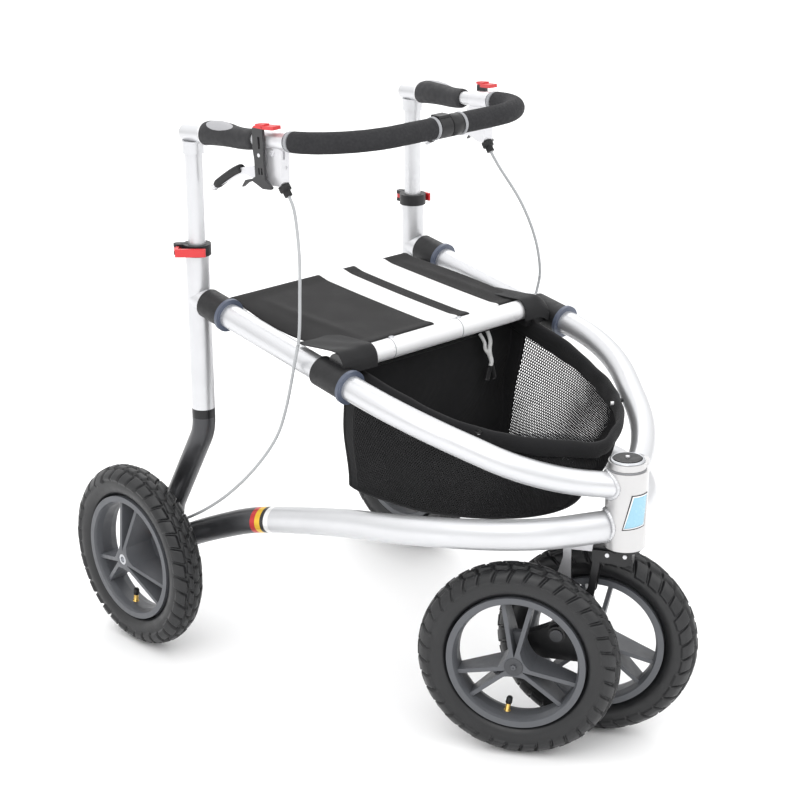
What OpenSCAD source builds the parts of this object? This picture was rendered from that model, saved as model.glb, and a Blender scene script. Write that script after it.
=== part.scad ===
// All terrain rollator: a sideways folding frame with a seat, a basket,
// two rear wheels and a swivelling pair of climbing wheels in front.
// X runs forward, Y to the user's left, Z up. Sizes are in millimetres.

/* [Frame] */
// Distance between the two upright tubes
upright_gap = 470; // [440:5:520]
// Outside diameter of an upright tube
upright_d = 38; // [34:1:42]
// Height of the top of an upright tube
upright_top = 690; // [680:5:720]
// Height where the upright bends back into its leg
leg_bend_z = 388; // [370:2:400]
// Height where the leg turns straight down again
leg_low_z = 223; // [215:1:235]
// Diameter of an upper side tube
tube_d = 39; // [34:1:42]
// Height of the upper side tube at the upright
tube_rear_z = 613; // [600:1:625]
// Drop of the upper side tube along its straight run
tube_drop = 78; // [60:1:90]
// Height of the lower side tube at its rear
low_rear_d = 39; // [34:1:44]
// Height of the lower side tube at the head
low_front_d = 50; // [40:1:54]
// Thickness of the lower side tube
low_thick_d = 37; // [30:1:40]
// Distance from the uprights to the head tube
head_x = 708; // [690:2:730]
// Diameter of the head tube
head_d = 62; // [56:1:66]
// Height of the bottom of the head tube
head_z = 336; // [333:1:343]
// Length of the head tube
head_h = 122; // [115:1:128]

/* [Wheels] */
// Radius of every wheel
wheel_r = 156; // [150:1:160]
// Width of a tyre
tyre_w = 57; // [50:1:60]
// Radius of the rim under the tyre
rim_r = 107; // [102:1:110]
// Distance between the two rear wheels
rear_track = 620; // [610:2:650]
// Distance of the rear axle behind the uprights
rear_axle_back = 97; // [90:1:105]
// Diameter of a wheel axle
axle_d = 12; // [10:1:14]
// Number of tread blocks along one side of a tyre
tread_count = 22; // [16:1:26]

/* [Climbing wheels] */
// Turn of the fork at rest
steer_rest = 32; // [20:1:40]
// Distance of the swing pivot behind the head axis
pivot_back = 97; // [90:1:105]
// Height of the swing pivot
pivot_z = 182; // [176:1:190]
// Distance between the front axles along the path
wheel_base = 102; // [96:1:110]
// Distance between the two front wheels sideways
lane_gap = 101; // [98:1:110]

/* [Handle] */
// Diameter of a height post
post_d = 28; // [25:1:30]
// Height of the handle at its rear end
handle_z = 878; // [864:2:900]
// Rise of the handle towards the front
handle_rise = 29; // [20:1:36]
// Reach of the handle in front of the uprights
handle_reach = 326; // [310:2:340]
// Diameter of the handle tube
bar_d = 22; // [20:1:24]
// Diameter of a hand grip
grip_d = 37; // [34:1:40]
// Diameter of the handle foam
foam_d = 33; // [30:1:36]
// Length of a brake lever
lever_len = 132; // [120:2:140]

/* [Seat and basket] */
// Diameter of the front seat bar
seat_bar_d = 32; // [28:1:34]
// Diameter of the rear seat bar
rear_bar_d = 24; // [20:1:28]
// Thickness of the seat cloth
seat_t = 3; // [2:0.5:5]
// Depth of the sag in the seat
seat_sag = 10; // [4:1:16]
// Height of the basket floor
basket_z = 352; // [345:1:370]
// Thickness of the basket wall
basket_t = 3; // [2:0.5:5]
// Diameter of a brake cable
cable_d = 5; // [4:0.5:6]

/* [Hidden] */
$fn = 64;

// Fits
fit_gap = 0.05;
body_gap = 0.4;
seat_gap = 0.02;
press_gap = 0.1;
wrap_gap = 0.3;
cut_more = 2;
sink_gap = 0.06;
sink_len = 1.5;

// Main positions
half_gap = upright_gap / 2;
wheel_y = rear_track / 2;
axle_r = axle_d / 2;
tube_r = tube_d / 2;
upright_r = upright_d / 2;
head_r = head_d / 2;
head_top = head_z + head_h;
bend_small = 75;
bend_wide = 300;
bend_handle = 112;
cut_top = handle_z + handle_rise;

// Moves the whole part so that its box is centred on the origin
core_r = wheel_r - tyre_w / 2;
front_reach = core_r * cos(steer_rest) + tyre_w / 2;
lead_x = -pivot_back + wheel_base / 2;
lead_front = head_x + lead_x * cos(steer_rest) - lane_gap / 2 * sin(steer_rest) + front_reach;
shift_x = -(lead_front - rear_axle_back - wheel_r) / 2;

// Vector helpers
function unit(v) = v / norm(v);
function aim(v) = [0, acos(v[2] / norm(v)), atan2(v[1], v[0])];
function turn_of(x, y, z) = [atan2(y[2], z[2]), -asin(x[2]), atan2(x[1], x[0])];
function bend_angle(a, b, c) = acos(unit(b - a) * unit(c - b));
function lead_in(a, b, c, r) = r * tan(bend_angle(a, b, c) / 2);
function trim_at(pts, i, r) =
    i == 0 || i == len(pts) - 1 ? 0 : lead_in(pts[i - 1], pts[i], pts[i + 1], r);

// A straight rod between two points
module rod(p, q, d) {
    translate(p) rotate(aim(q - p)) cylinder(d = d, h = norm(q - p));
}

// The curved piece of a rod at one corner, a hair thinner so that its ends sink into the rods
module elbow(a, b, c, r, d) {
    u = unit(b - a);
    w = unit(c - b);
    t = lead_in(a, b, c, r);
    z = unit(cross(u, w));
    start = b - u * t;
    mid = start + cross(z, u) * r;
    x = unit(start - mid);
    more = sink_len / r * 180 / PI;
    translate(mid) rotate(turn_of(x, u, z)) rotate(-more)
        rotate_extrude(angle = bend_angle(a, b, c) + 2 * more)
            translate([r, 0]) circle(d = d - 2 * sink_gap);
}

// A round rod along a line of corners, each rounded with the same radius
module bent_rod(pts, r, d) {
    for (i = [0 : len(pts) - 2]) {
        u = unit(pts[i + 1] - pts[i]);
        rod(pts[i] + u * trim_at(pts, i, r), pts[i + 1] - u * trim_at(pts, i + 1, r), d);
    }
    for (i = [1 : len(pts) - 2]) elbow(pts[i - 1], pts[i], pts[i + 1], r, d);
}

// A smooth curve through a list of points
function knot(p, i) = p[max(0, min(len(p) - 1, i))];
function smooth(p, i, t) =
    let (a = knot(p, i - 1), b = knot(p, i), c = knot(p, i + 1), d = knot(p, i + 2))
    b + (c - a) * t / 2 + (2 * a - 5 * b + 4 * c - d) * t * t / 2
    + (3 * b - a - 3 * c + d) * t * t * t / 2;
function curve(p, steps) = concat(
    [for (i = [0 : len(p) - 2], k = [0 : steps - 1]) smooth(p, i, k / steps)], [p[len(p) - 1]]);
function heading(c, i) = unit(c[min(i + 1, len(c) - 1)] - c[max(i - 1, 0)]);

// A tube with oval section along a curve, tall and thick change along it
module swept(c, sides, tall, thick) {
    n = len(c);
    pts = [for (i = [0 : n - 1])
        let (h = heading(c, i), s = unit(cross([0, 0, 1], h)), v = cross(h, s))
        for (k = [0 : sides - 1])
            c[i] + s * thick[i] / 2 * cos(360 * k / sides) + v * tall[i] / 2 * sin(360 * k / sides)];
    faces = concat(
        [[for (k = [0 : sides - 1]) k]],
        [for (i = [0 : n - 2], k = [0 : sides - 1])
            [i * sides + k, (i + 1) * sides + k,
                (i + 1) * sides + (k + 1) % sides, i * sides + (k + 1) % sides]],
        [[for (k = [0 : sides - 1]) n * sides - 1 - k]]);
    polyhedron(points = pts, faces = faces);
}

module placed() {
    translate([shift_x, 0, 0]) children();
}

module right_side() {
    placed() mirror([0, 1, 0]) children();
}

module left_side() {
    placed() children();
}

// Side tubes, drawn for the left side
upper_start = [0, half_gap, tube_rear_z];
tube_bend_back = 241;
tube_turn_back = 63;
tube_turn_y = 125;
tube_turn_up = 121;
tube_end_back = 1;
tube_end_y = 8;
tube_end_up = 95.6;
tube_run = head_x - tube_bend_back;
tube_fall = tube_drop / tube_run;
upper_bend = [tube_run, half_gap, tube_rear_z - tube_drop];
upper_turn = [head_x - tube_turn_back, tube_turn_y, head_z + tube_turn_up];
upper_end = [head_x - tube_end_back, tube_end_y, head_z + tube_end_up];
upper_line = unit(upper_bend - upper_start);
upper_tilt = [0, acos(upper_line[2]), 0];
tube_normal = [-upper_line[2], 0, upper_line[0]];

axle_at = [-rear_axle_back, half_gap, wheel_r];
leg_points = [[0, half_gap, upright_top], [0, half_gap, leg_bend_z],
    [-rear_axle_back, half_gap, leg_low_z], axle_at];
boss_r = 23;
boss_in = 20;
boss_out = 22;
boss_end = half_gap + boss_out;

barrel_r = 13;
barrel_back = 12;
barrel_x = head_x - barrel_back;
barrel_y = 44;
barrel_pin_r = 5;
lug_t = 7;
lug_share = 0.75;
barrel_z = head_z + lug_t + body_gap;
barrel_h = head_h - 2 * (lug_t + body_gap);

// Along, across and up along the lower side tube, from the rear axle to the head
low_shares = [[0, 1, 0], [0.065, 1, 0.144], [0.17, 1, 0.335], [0.282, 1, 0.512], [0.431, 1, 0.679],
    [0.568, 1, 0.814], [0.692, 0.96, 0.902], [0.835, 0.75, 0.963], [0.928, 0.49, 0.991],
    [0.972, 0.18, 0.988], [0.988, 0.025, 0.982]];
low_head_up = 35;
low_reach = [head_x + rear_axle_back, half_gap, head_z + low_head_up - wheel_r];
low_points = [for (s = low_shares)
    [s[0] * low_reach[0] - rear_axle_back, s[1] * low_reach[1], s[2] * low_reach[2] + wheel_r]];
low_steps = 3;
low_path = curve(low_points, low_steps);
low_share = [for (i = [0 : len(low_path) - 1]) i / (len(low_path) - 1)];
low_tall = [for (s = low_share) low_rear_d + (low_front_d - low_rear_d) * s];
low_wide = [for (s = low_share) low_thick_d];
low_sides = 20;

module upper_rod() {
    bent_rod([upper_start, upper_bend, upper_turn, upper_end], bend_wide, tube_d);
}

module leg_rod(more) {
    bent_rod(leg_points, bend_small, upright_d + more);
}

module boss(more) {
    translate([axle_at[0], half_gap - boss_in, axle_at[2]]) rotate([-90, 0, 0])
        cylinder(r = boss_r + more, h = boss_in + boss_out);
}

module upper_tube(joint_x, joint_y, joint_r) {
    difference() {
        upper_rod();
        translate([0, half_gap, 0]) cylinder(r = upright_r + seat_gap, h = cut_top);
        translate([joint_x, joint_y, 0]) cylinder(r = joint_r + seat_gap, h = cut_top);
        translate([joint_x - head_r, joint_y - head_d * 2, 0]) cube([head_d * 2, head_d * 2, cut_top]);
    }
}

module lower_tube(joint_x, joint_y, joint_r) {
    difference() {
        swept(low_path, low_sides, low_tall, low_wide);
        leg_rod(seat_gap);
        boss(seat_gap);
        translate([joint_x, joint_y, 0]) cylinder(r = joint_r + seat_gap, h = cut_top);
        translate([joint_x - head_r, joint_y - head_d * 2, 0]) cube([head_d * 2, head_d * 2, cut_top]);
    }
}

post_low_z = 500;
bore_z = 440;

module upright() {
    difference() {
        union() {
            leg_rod(0);
            boss(0);
        }
        translate([0, half_gap, bore_z]) cylinder(r = post_d / 2 + fit_gap, h = cut_top);
        translate(axle_at) rotate([90, 0, 0])
            cylinder(r = axle_r + seat_gap, h = upright_gap, center = true);
    }
}

// Head of the frame
steerer_r = 14;
lip_r = 28;
lip_h = 13;
lip_groove = 1.5;

module head_tube() {
    color("silver") placed() difference() {
        union() {
            translate([head_x, 0, head_z]) cylinder(r = head_r, h = head_h);
            translate([head_x, 0, head_top]) cylinder(r = lip_r - lip_groove, h = lip_h);
            translate([head_x, 0, head_top + lip_groove * 2]) cylinder(r = lip_r, h = lip_h - lip_groove * 2);
            for (z = [head_z, head_top - lug_t]) {
                translate([barrel_x, barrel_y, z]) cylinder(r = barrel_r, h = lug_t);
                translate([barrel_x - barrel_r * lug_share, 0, z])
                    cube([barrel_r * 2 * lug_share, barrel_y, lug_t]);
            }
        }
        translate([head_x, 0, 0]) cylinder(r = steerer_r + fit_gap, h = cut_top);
        translate([barrel_x, barrel_y, 0]) cylinder(r = barrel_pin_r + seat_gap, h = cut_top);
    }
}

module hinge_pin() {
    color("dimgray") placed()
        translate([barrel_x, barrel_y, head_z]) cylinder(r = barrel_pin_r, h = head_h);
}

module hinge_barrel() {
    color("silver") placed() translate([barrel_x, barrel_y, barrel_z]) difference() {
        cylinder(r = barrel_r, h = barrel_h);
        cylinder(r = barrel_pin_r + fit_gap, h = barrel_h * 2, center = true);
    }
}

module right_upper_tube() { color("silver") right_side() upper_tube(head_x, 0, head_r); }
module left_upper_tube() { color("silver") left_side() upper_tube(barrel_x, barrel_y, barrel_r); }
module right_lower_tube() { color("silver") right_side() lower_tube(head_x, 0, head_r); }
module left_lower_tube() { color("silver") left_side() lower_tube(barrel_x, barrel_y, barrel_r); }
module right_upright() { color("silver") right_side() upright(); }
module left_upright() { color("silver") left_side() upright(); }

// Rear axle with a hollow nut sunk into the end of the hub
nut_r = 9;
nut_h = 6;
nut_bore = 5;
hub_out = 34;
hub_end = wheel_y + hub_out;
axle_len = hub_end - nut_h - half_gap + boss_in;

module axle() {
    translate([axle_at[0], half_gap - boss_in, axle_at[2]]) rotate([-90, 0, 0]) difference() {
        union() {
            cylinder(r = axle_r, h = axle_len);
            translate([0, 0, axle_len - body_gap]) cylinder(r = nut_r, h = nut_h);
        }
        translate([0, 0, axle_len + cut_more]) cylinder(r = nut_bore, h = nut_h);
    }
}

module right_axle() { color("gray") right_side() axle(); }
module left_axle() { color("gray") left_side() axle(); }

// Brake plate beside the drum, with the arm that holds the cable end
plate_r = 50;
plate_t = 4;
arm_w = 16;
arm_len = 92;
arm_turn = 47;

module brake_plate() {
    translate([axle_at[0], boss_end, axle_at[2]]) rotate([-90, 0, 0]) difference() {
        linear_extrude(plate_t) {
            circle(r = plate_r);
            rotate(-arm_turn) translate([0, -arm_w / 2]) square([arm_len, arm_w]);
            rotate(-arm_turn) translate([arm_len, 0]) circle(d = arm_w);
        }
        cylinder(r = axle_r + seat_gap, h = plate_t * 3, center = true);
    }
}

module right_brake_plate() { color("dimgray") right_side() brake_plate(); }
module left_brake_plate() { color("dimgray") left_side() brake_plate(); }

// Clamp collar at the top of the upright, with a slotted ear for the lever
collar_r = 22.5;
collar_low = 5;
collar_up = 13;
ear_w = 15;
qr_pin_x = -30;
qr_pin_r = 4;
qr_slot = 8;
split_w = 2;
right_turn = -47;

module turned_collar(turn) {
    translate([0, half_gap, upright_top]) rotate(turn) children();
}

module collar() {
    difference() {
        translate([0, 0, -collar_low]) linear_extrude(collar_low + collar_up) {
            circle(r = collar_r);
            translate([qr_pin_x, -ear_w / 2]) square([-qr_pin_x, ear_w]);
            translate([qr_pin_x, 0]) circle(d = ear_w);
        }
        translate([0, 0, -collar_low - cut_more])
            cylinder(r = upright_r + seat_gap, h = collar_low + cut_more);
        cylinder(r = post_d / 2 + fit_gap, h = collar_up * 3);
        translate([qr_pin_x - ear_w, -ear_w, 0]) cube([-qr_pin_x + ear_w - collar_r, ear_w * 2, qr_slot]);
        translate([qr_pin_x - ear_w, -split_w / 2, 0]) cube([-qr_pin_x + ear_w, split_w, collar_up * 2]);
    }
    translate([qr_pin_x, 0, -collar_low]) cylinder(r = qr_pin_r, h = collar_low + collar_up);
}

module right_collar() { color("black") right_side() turned_collar(right_turn) collar(); }
module left_collar() { color("black") left_side() turned_collar(0) collar(); }

// Red clamp lever, a tall band that follows the collar from its eye in the slot
qr_h = 7;
band_h = 13;
band_t = 5;
band_gap = 1.5;
band_in = collar_r + band_gap;
band_tip = 16;
qr_eye_r = 6.8;

module qr_lever() {
    difference() {
        union() {
            translate([qr_pin_x, 0, (qr_slot - qr_h) / 2]) linear_extrude(qr_h) {
                circle(r = qr_eye_r);
                translate([-band_t / 2, 0]) square([band_t, band_in]);
            }
            translate([0, 0, (qr_slot - band_h) / 2]) linear_extrude(band_h) {
                translate([qr_pin_x - band_t / 2, ear_w / 2 + band_gap])
                    square([band_t, band_in - ear_w / 2 - band_gap + band_t]);
                translate([qr_pin_x - band_t / 2, band_in]) square([band_tip - qr_pin_x, band_t]);
                translate([band_tip - band_t / 2, band_in + band_t / 2])
                    circle(d = band_t);
            }
        }
        translate([qr_pin_x, 0, 0]) cylinder(r = qr_pin_r + fit_gap, h = qr_h * 4, center = true);
    }
}

module right_qr_lever() { color("red") right_side() turned_collar(right_turn) qr_lever(); }
module left_qr_lever() { color("red") left_side() turned_collar(0) qr_lever(); }

// Sleeves and rings along the straight part of the upper side tube
sleeve_r = 24;
ring_r = 27;
ring_t = 6;
rear_sleeve_at = 25;
rear_sleeve_len = 48;
front_sleeve_share = 0.638;
front_sleeve_at = norm(upper_bend - upper_start) * front_sleeve_share;
front_sleeve_len = 62;
rear_bar_at = rear_sleeve_at + rear_sleeve_len / 2;
front_bar_at = front_sleeve_at + front_sleeve_len / 2;
rear_bar_up = -4;
front_bar_up = 24;
rear_bar_end = 160;
front_bar_end = 194;
lug_w = 20;
lug_h = 12;
rear_lug_reach = 95;
front_lug_reach = 66;

module on_tube(at) {
    translate(upper_start + upper_line * at) rotate(upper_tilt) children();
}

module sleeve(at, length) {
    on_tube(at) difference() {
        cylinder(r = sleeve_r, h = length);
        translate([0, 0, -cut_more]) cylinder(r = tube_r + fit_gap, h = length + 2 * cut_more);
    }
}

// A sleeve with the shelf that carries the free end of a seat bar
module shelf_sleeve(at, length, below, reach) {
    on_tube(at) difference() {
        union() {
            cylinder(r = sleeve_r, h = length);
            translate([below + body_gap, -reach, length / 2 - lug_w / 2]) cube([lug_h, reach, lug_w]);
        }
        translate([0, 0, -cut_more]) cylinder(r = tube_r + fit_gap, h = length + 2 * cut_more);
    }
}

module rings() {
    for (at = [rear_sleeve_at + rear_sleeve_len, front_sleeve_at + front_sleeve_len])
        on_tube(at + body_gap) difference() {
            cylinder(r = ring_r, h = ring_t);
            translate([0, 0, -cut_more]) cylinder(r = tube_r + seat_gap, h = ring_t + 2 * cut_more);
        }
}

module right_rear_sleeve() { color("black") right_side() sleeve(rear_sleeve_at, rear_sleeve_len); }
module right_front_sleeve() { color("black") right_side() sleeve(front_sleeve_at, front_sleeve_len); }
module left_rear_sleeve() {
    color("black") left_side()
        shelf_sleeve(rear_sleeve_at, rear_sleeve_len, rear_bar_d / 2 - rear_bar_up, rear_lug_reach);
}
module left_front_sleeve() {
    color("black") left_side()
        shelf_sleeve(front_sleeve_at, front_sleeve_len, seat_bar_d / 2 - front_bar_up, front_lug_reach);
}
module right_rings() { color("slategray") right_side() rings(); }
module left_rings() { color("slategray") left_side() rings(); }

// Seat bars, fixed to the right sleeves and free at their left ends
module crossbar(at, up, d, reach) {
    placed() mirror([0, 1, 0]) difference() {
        on_tube(at) translate([-up, 0, 0]) rotate([90, 0, 0]) cylinder(d = d, h = half_gap + reach);
        on_tube(0) cylinder(r = sleeve_r + seat_gap, h = head_x / 2);
        translate([0, half_gap, 0]) cube([head_x, half_gap, cut_top]);
    }
}

module rear_crossbar() { color("white") crossbar(rear_bar_at, rear_bar_up, rear_bar_d, rear_bar_end); }
module front_crossbar() { color("white") crossbar(front_bar_at, front_bar_up, seat_bar_d, front_bar_end); }

// Seat cloth wrapped round the rear bar and sewn to the back of the front bar,
// with a sag between them and drawn in sides
seat_right = 198;
seat_left = 168;
seat_in = 14;
front_wrap_share = 0.3;
rear_bar_pos = upper_start + upper_line * rear_bar_at + tube_normal * rear_bar_up;
front_bar_pos = upper_start + upper_line * front_bar_at + tube_normal * front_bar_up;
rear_wrap = rear_bar_d / 2 + wrap_gap;
front_wrap = seat_bar_d / 2 + wrap_gap;
bar_step = front_wrap - rear_wrap;
bar_span = norm(front_bar_pos - rear_bar_pos);
seat_span = sqrt(bar_span * bar_span - bar_step * bar_step);
seat_slope = atan2(front_bar_pos[2] - rear_bar_pos[2], front_bar_pos[0] - rear_bar_pos[0])
    + asin(bar_step / bar_span);
sag_r = (seat_span * seat_span / 4 + seat_sag * seat_sag) / (2 * seat_sag);
side_r = (seat_span * seat_span / 4 + seat_in * seat_in) / (2 * seat_in);
hang = 10;
sheet_low = 0.2;
arc_steps = 240;
sheet_top = rear_wrap + seat_t - seat_sag - sheet_low;
front_edge = seat_span - front_wrap * front_wrap_share;

module cloth_loop(r, middle) {
    difference() {
        translate(middle) circle(r = r + seat_t);
        translate(middle) circle(r = r);
        translate([middle[0] - r * 2, middle[1] - r * 2 - hang]) square([r * 4, r * 2]);
    }
}

module seat_section() {
    cloth_loop(rear_wrap, [0, 0]);
    difference() {
        cloth_loop(front_wrap, [seat_span, -bar_step]);
        translate([front_edge, -front_wrap * 2]) square([front_wrap * 2, front_wrap * 4]);
    }
    intersection() {
        difference() {
            translate([seat_span / 2, sheet_top + sag_r]) circle(r = sag_r + seat_t, $fn = arc_steps);
            translate([seat_span / 2, sheet_top + sag_r]) circle(r = sag_r, $fn = arc_steps);
        }
        difference() {
            translate([0, -rear_wrap]) square([front_edge, rear_wrap * 3]);
            translate([seat_span, -bar_step]) circle(r = front_wrap);
            circle(r = rear_wrap);
        }
    }
}

module seat() {
    color("black") placed() translate([rear_bar_pos[0], 0, rear_bar_pos[2]])
        rotate([0, -seat_slope, 0]) difference() {
        translate([0, seat_left, 0]) rotate([90, 0, 0])
            linear_extrude(seat_left + seat_right) seat_section();
        translate([seat_span / 2, -seat_right - side_r + seat_in, 0])
            cylinder(r = side_r, h = upright_gap, center = true, $fn = arc_steps);
        translate([seat_span / 2, seat_left + side_r - seat_in, 0])
            cylinder(r = side_r, h = upright_gap, center = true, $fn = arc_steps);
    }
}

// Basket between the upper side tubes, open at the top
basket_shares = [[0, 0.98], [0.28, 1], [0.5, 0.9], [0.68, 0.75], [0.83, 0.55], [0.94, 0.3], [1, 0.07]];
basket_rear = front_sleeve_at;
basket_front_gap = 48;
basket_len = head_x - basket_front_gap - basket_rear;
basket_half = 176;
rim_below = 6.6;
rim_dip = 14.2;
rim_rear_z = tube_rear_z - basket_rear * tube_fall - rim_below;
rim_drop = basket_len * tube_fall + rim_dip;
floor_share = 0.7;
floor_len = basket_len * floor_share;
floor_half = 152;
strap_back = 89;
strap_x = tube_run - strap_back;
strap_below = 13;
strap_z = tube_rear_z - strap_x * tube_fall - strap_below;
strap_d = 7;
strap_in = 2;
basket_last = len(basket_shares) - 1;
basket_loop = concat(basket_shares,
    [for (i = [basket_last : -1 : 0]) [basket_shares[i][0], -basket_shares[i][1]]]);

function rim_ring(t, lift) = [for (p = basket_loop)
    [basket_rear + t + p[0] * (basket_len - 2 * t), p[1] * (basket_half - t),
        rim_rear_z - p[0] * rim_drop + lift]];
function floor_ring(t, z) = [for (p = basket_loop)
    [basket_rear + t + p[0] * (floor_len - 2 * t), p[1] * (floor_half - t), z]];

module tub(t, z, lift) {
    low = floor_ring(t, z);
    top = rim_ring(t, lift);
    n = len(low);
    polyhedron(points = concat(low, top), faces = concat(
        [[for (k = [0 : n - 1]) n - 1 - k]],
        [for (k = [0 : n - 1]) [(k + 1) % n, n + k, k]],
        [for (k = [0 : n - 1]) [n + (k + 1) % n, n + k, (k + 1) % n]],
        [[for (k = [0 : n - 1]) n + k]]));
}

// The basket hangs on short straps that reach the side tubes
module basket() {
    color("black") placed() difference() {
        union() {
            difference() {
                tub(0, basket_z, 0);
                tub(basket_t, basket_z + basket_t, basket_t);
            }
            for (s = pair_sides) translate([strap_x, s * (basket_half - strap_in), strap_z])
                rotate([-s * 90, 0, 0]) cylinder(d = strap_d, h = half_gap - basket_half + strap_in);
        }
        mirror([0, 1, 0]) on_tube(0) cylinder(r = tube_r + seat_gap, h = head_x);
        on_tube(0) cylinder(r = tube_r + body_gap, h = head_x);
    }
}

// Height posts
post_over = 2;
post_top = handle_z + post_over;

module post() {
    translate([0, half_gap, post_low_z]) cylinder(d = post_d, h = post_top - bar_d / 2 - post_low_z);
}

module right_post() { color("silver") right_side() post(); }
module left_post() { color("silver") left_side() post(); }

// Handle halves, each with a tee at its rear that turns on the post
bar_back = 22.5;
bar_in = 29;
bar_rear = [-bar_back, half_gap, handle_z];
bar_corner = [handle_reach, half_gap - bar_in, handle_z + handle_rise];
bar_join = [handle_reach, body_gap, handle_z + handle_rise];
bar_line = unit(bar_corner - bar_rear);
bar_turn = [0, asin(-bar_line[2]), atan2(bar_line[1], bar_line[0])];
bar_up = cross(bar_line, unit(cross([0, 0, 1], bar_line)));
bar_run = norm(bar_corner - bar_rear) - lead_in(bar_rear, bar_corner, bar_join, bend_handle);
tee_len = 48;
tee_d = 29;
cap_t = 6;
cap_d = 34;
cap_h = 20;
grip_start = tee_len;
grip_run_share = 0.462;
clamp_share = 0.861;
foam_share = 0.985;
grip_len = bar_run * grip_run_share;
clamp_at = bar_run * clamp_share;
foam_start = bar_run * foam_share;
foam_end = 24;
grip_shares = [[0, 0.9], [0.03, 1.02], [0.12, 1.1], [0.28, 1.12], [0.42, 1.05], [0.55, 0.96], [0.75, 0.92],
    [0.94, 0.95], [0.98, 0.95], [1, 0.86]];
tee_shares = [[0, 0.8], [0.07, 0.95], [0.15, 1], [0.92, 1], [1, 0.92]];

module on_bar(at) {
    translate(bar_rear + bar_line * at) rotate(bar_turn) children();
}

module half_bar() {
    difference() {
        union() {
            bent_rod([bar_rear, bar_corner, bar_join], bend_handle, bar_d);
            on_bar(0) rotate([0, 90, 0]) rotate_extrude() polygon(concat([[0, 0]],
                [for (p = tee_shares) [p[1] * tee_d / 2, p[0] * tee_len]], [[0, tee_len]]));
            translate([0, half_gap, post_top - bar_d / 2 + body_gap - cap_h])
                cylinder(d = cap_d, h = cap_h);
        }
        translate([0, half_gap, post_low_z])
            cylinder(r = post_d / 2 + fit_gap, h = post_top - bar_d / 2 + body_gap - post_low_z);
    }
}

module right_bar() { color("silver") right_side() half_bar(); }
module left_bar() { color("silver") left_side() half_bar(); }

module grip() {
    on_bar(grip_start + body_gap) rotate([0, 90, 0]) difference() {
        rotate_extrude() polygon(concat([[0, 0]],
            [for (p = grip_shares) [p[1] * grip_d / 2, p[0] * grip_len]], [[0, grip_len]]));
        translate([0, 0, -cut_more]) cylinder(r = bar_d / 2 + press_gap, h = grip_len + 2 * cut_more);
    }
}

module right_grip() { color("black") right_side() grip(); }
module left_grip() { color("black") left_side() grip(); }

module foam() {
    difference() {
        bent_rod([bar_rear + bar_line * foam_start, bar_corner, [bar_join[0], foam_end, bar_join[2]]],
            bend_handle, foam_d);
        bent_rod([bar_rear, bar_corner, [bar_join[0], -foam_end, bar_join[2]]],
            bend_handle, bar_d + 2 * press_gap);
    }
}

module right_foam() { color("dimgray") right_side() foam(); }
module left_foam() { color("dimgray") left_side() foam(); }

// Connector that joins the handle halves in the middle
joint_d = 35;
tongue_w = 18;
tongue_h = 4;

module bar_connector() {
    color("black") right_side() translate([bar_join[0], 0, bar_join[2]]) rotate([-90, 0, 0]) difference() {
        union() {
            translate([0, 0, body_gap]) cylinder(d = joint_d, h = foam_end - body_gap - seat_gap);
            translate([-tongue_w / 2, -joint_d / 2 - tongue_h + cut_more, body_gap])
                cube([tongue_w, tongue_h, foam_end - body_gap - seat_gap]);
        }
        cylinder(r = bar_d / 2 + press_gap, h = foam_end * 3, center = true);
    }
}

// Brake lever clamp on the handle, its lever and its parking latch
clamp_d = 28;
clamp_back = 24;
clamp_front = 21;
band_d = 30;
band_w = 12;
cheek_t = 5;
cheek_in = 4.2;
body_half = cheek_in + cheek_t;
body_shares = [[-0.68, -0.11], [0.34, -0.11], [0.34, -0.2], [0.21, -0.9], [0.12, -0.97], [-0.3, -0.97],
    [-0.95, -0.83], [-1, -0.5], [-0.96, -0.2]];
body_reach = 35;
body_drop = 70;
room_front = 9;
room_top = 34;
pivot_x = -24;
pivot_dz = -50;
pivot_r = 3;
lever_t = 7;
lever_eye_r = 9;
screw_at = [-7, -17.7];
screw_r = 4.8;
screw_out = 2;
slot_at = [0.5, -27];
slot_size = [4.5, 14];
eye_at = [-1, -40];
eye_r = 3;
end_x = 8.5;
adjust_x = 12;
adjust_z = -83;
adjust_r = 5.5;
adjust_len = 18;
knob_r = 8.5;
knob_h = 9;
adjust_turn = 32;

module clamp_solid() {
    translate([-clamp_back, 0, 0]) rotate([0, 90, 0])
        cylinder(d = clamp_d, h = clamp_back + clamp_front - band_w);
    translate([clamp_front - band_w, 0, 0]) rotate([0, 90, 0]) cylinder(d = band_d, h = band_w);
    rotate([90, 0, 0]) linear_extrude(2 * body_half, center = true)
        polygon([for (p = body_shares) [p[0] * body_reach, p[1] * body_drop]]);
    translate([adjust_x, 0, adjust_z]) rotate([0, -adjust_turn, 0]) {
        cylinder(r = adjust_r, h = adjust_len);
        translate([0, 0, adjust_len - knob_h]) cylinder(r = knob_r, h = knob_h);
        cylinder(r = adjust_r - 2 * fit_gap, h = adjust_len + cheek_t);
    }
    translate([screw_at[0], body_half, screw_at[1]]) rotate([-90, 0, 0]) cylinder(r = screw_r, h = screw_out);
    translate([latch_x, cheek_in, latch_z]) rotate([-90, 0, 0])
        cylinder(r = pivot_r, h = latch_in + latch_t - cheek_in);
}

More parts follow.
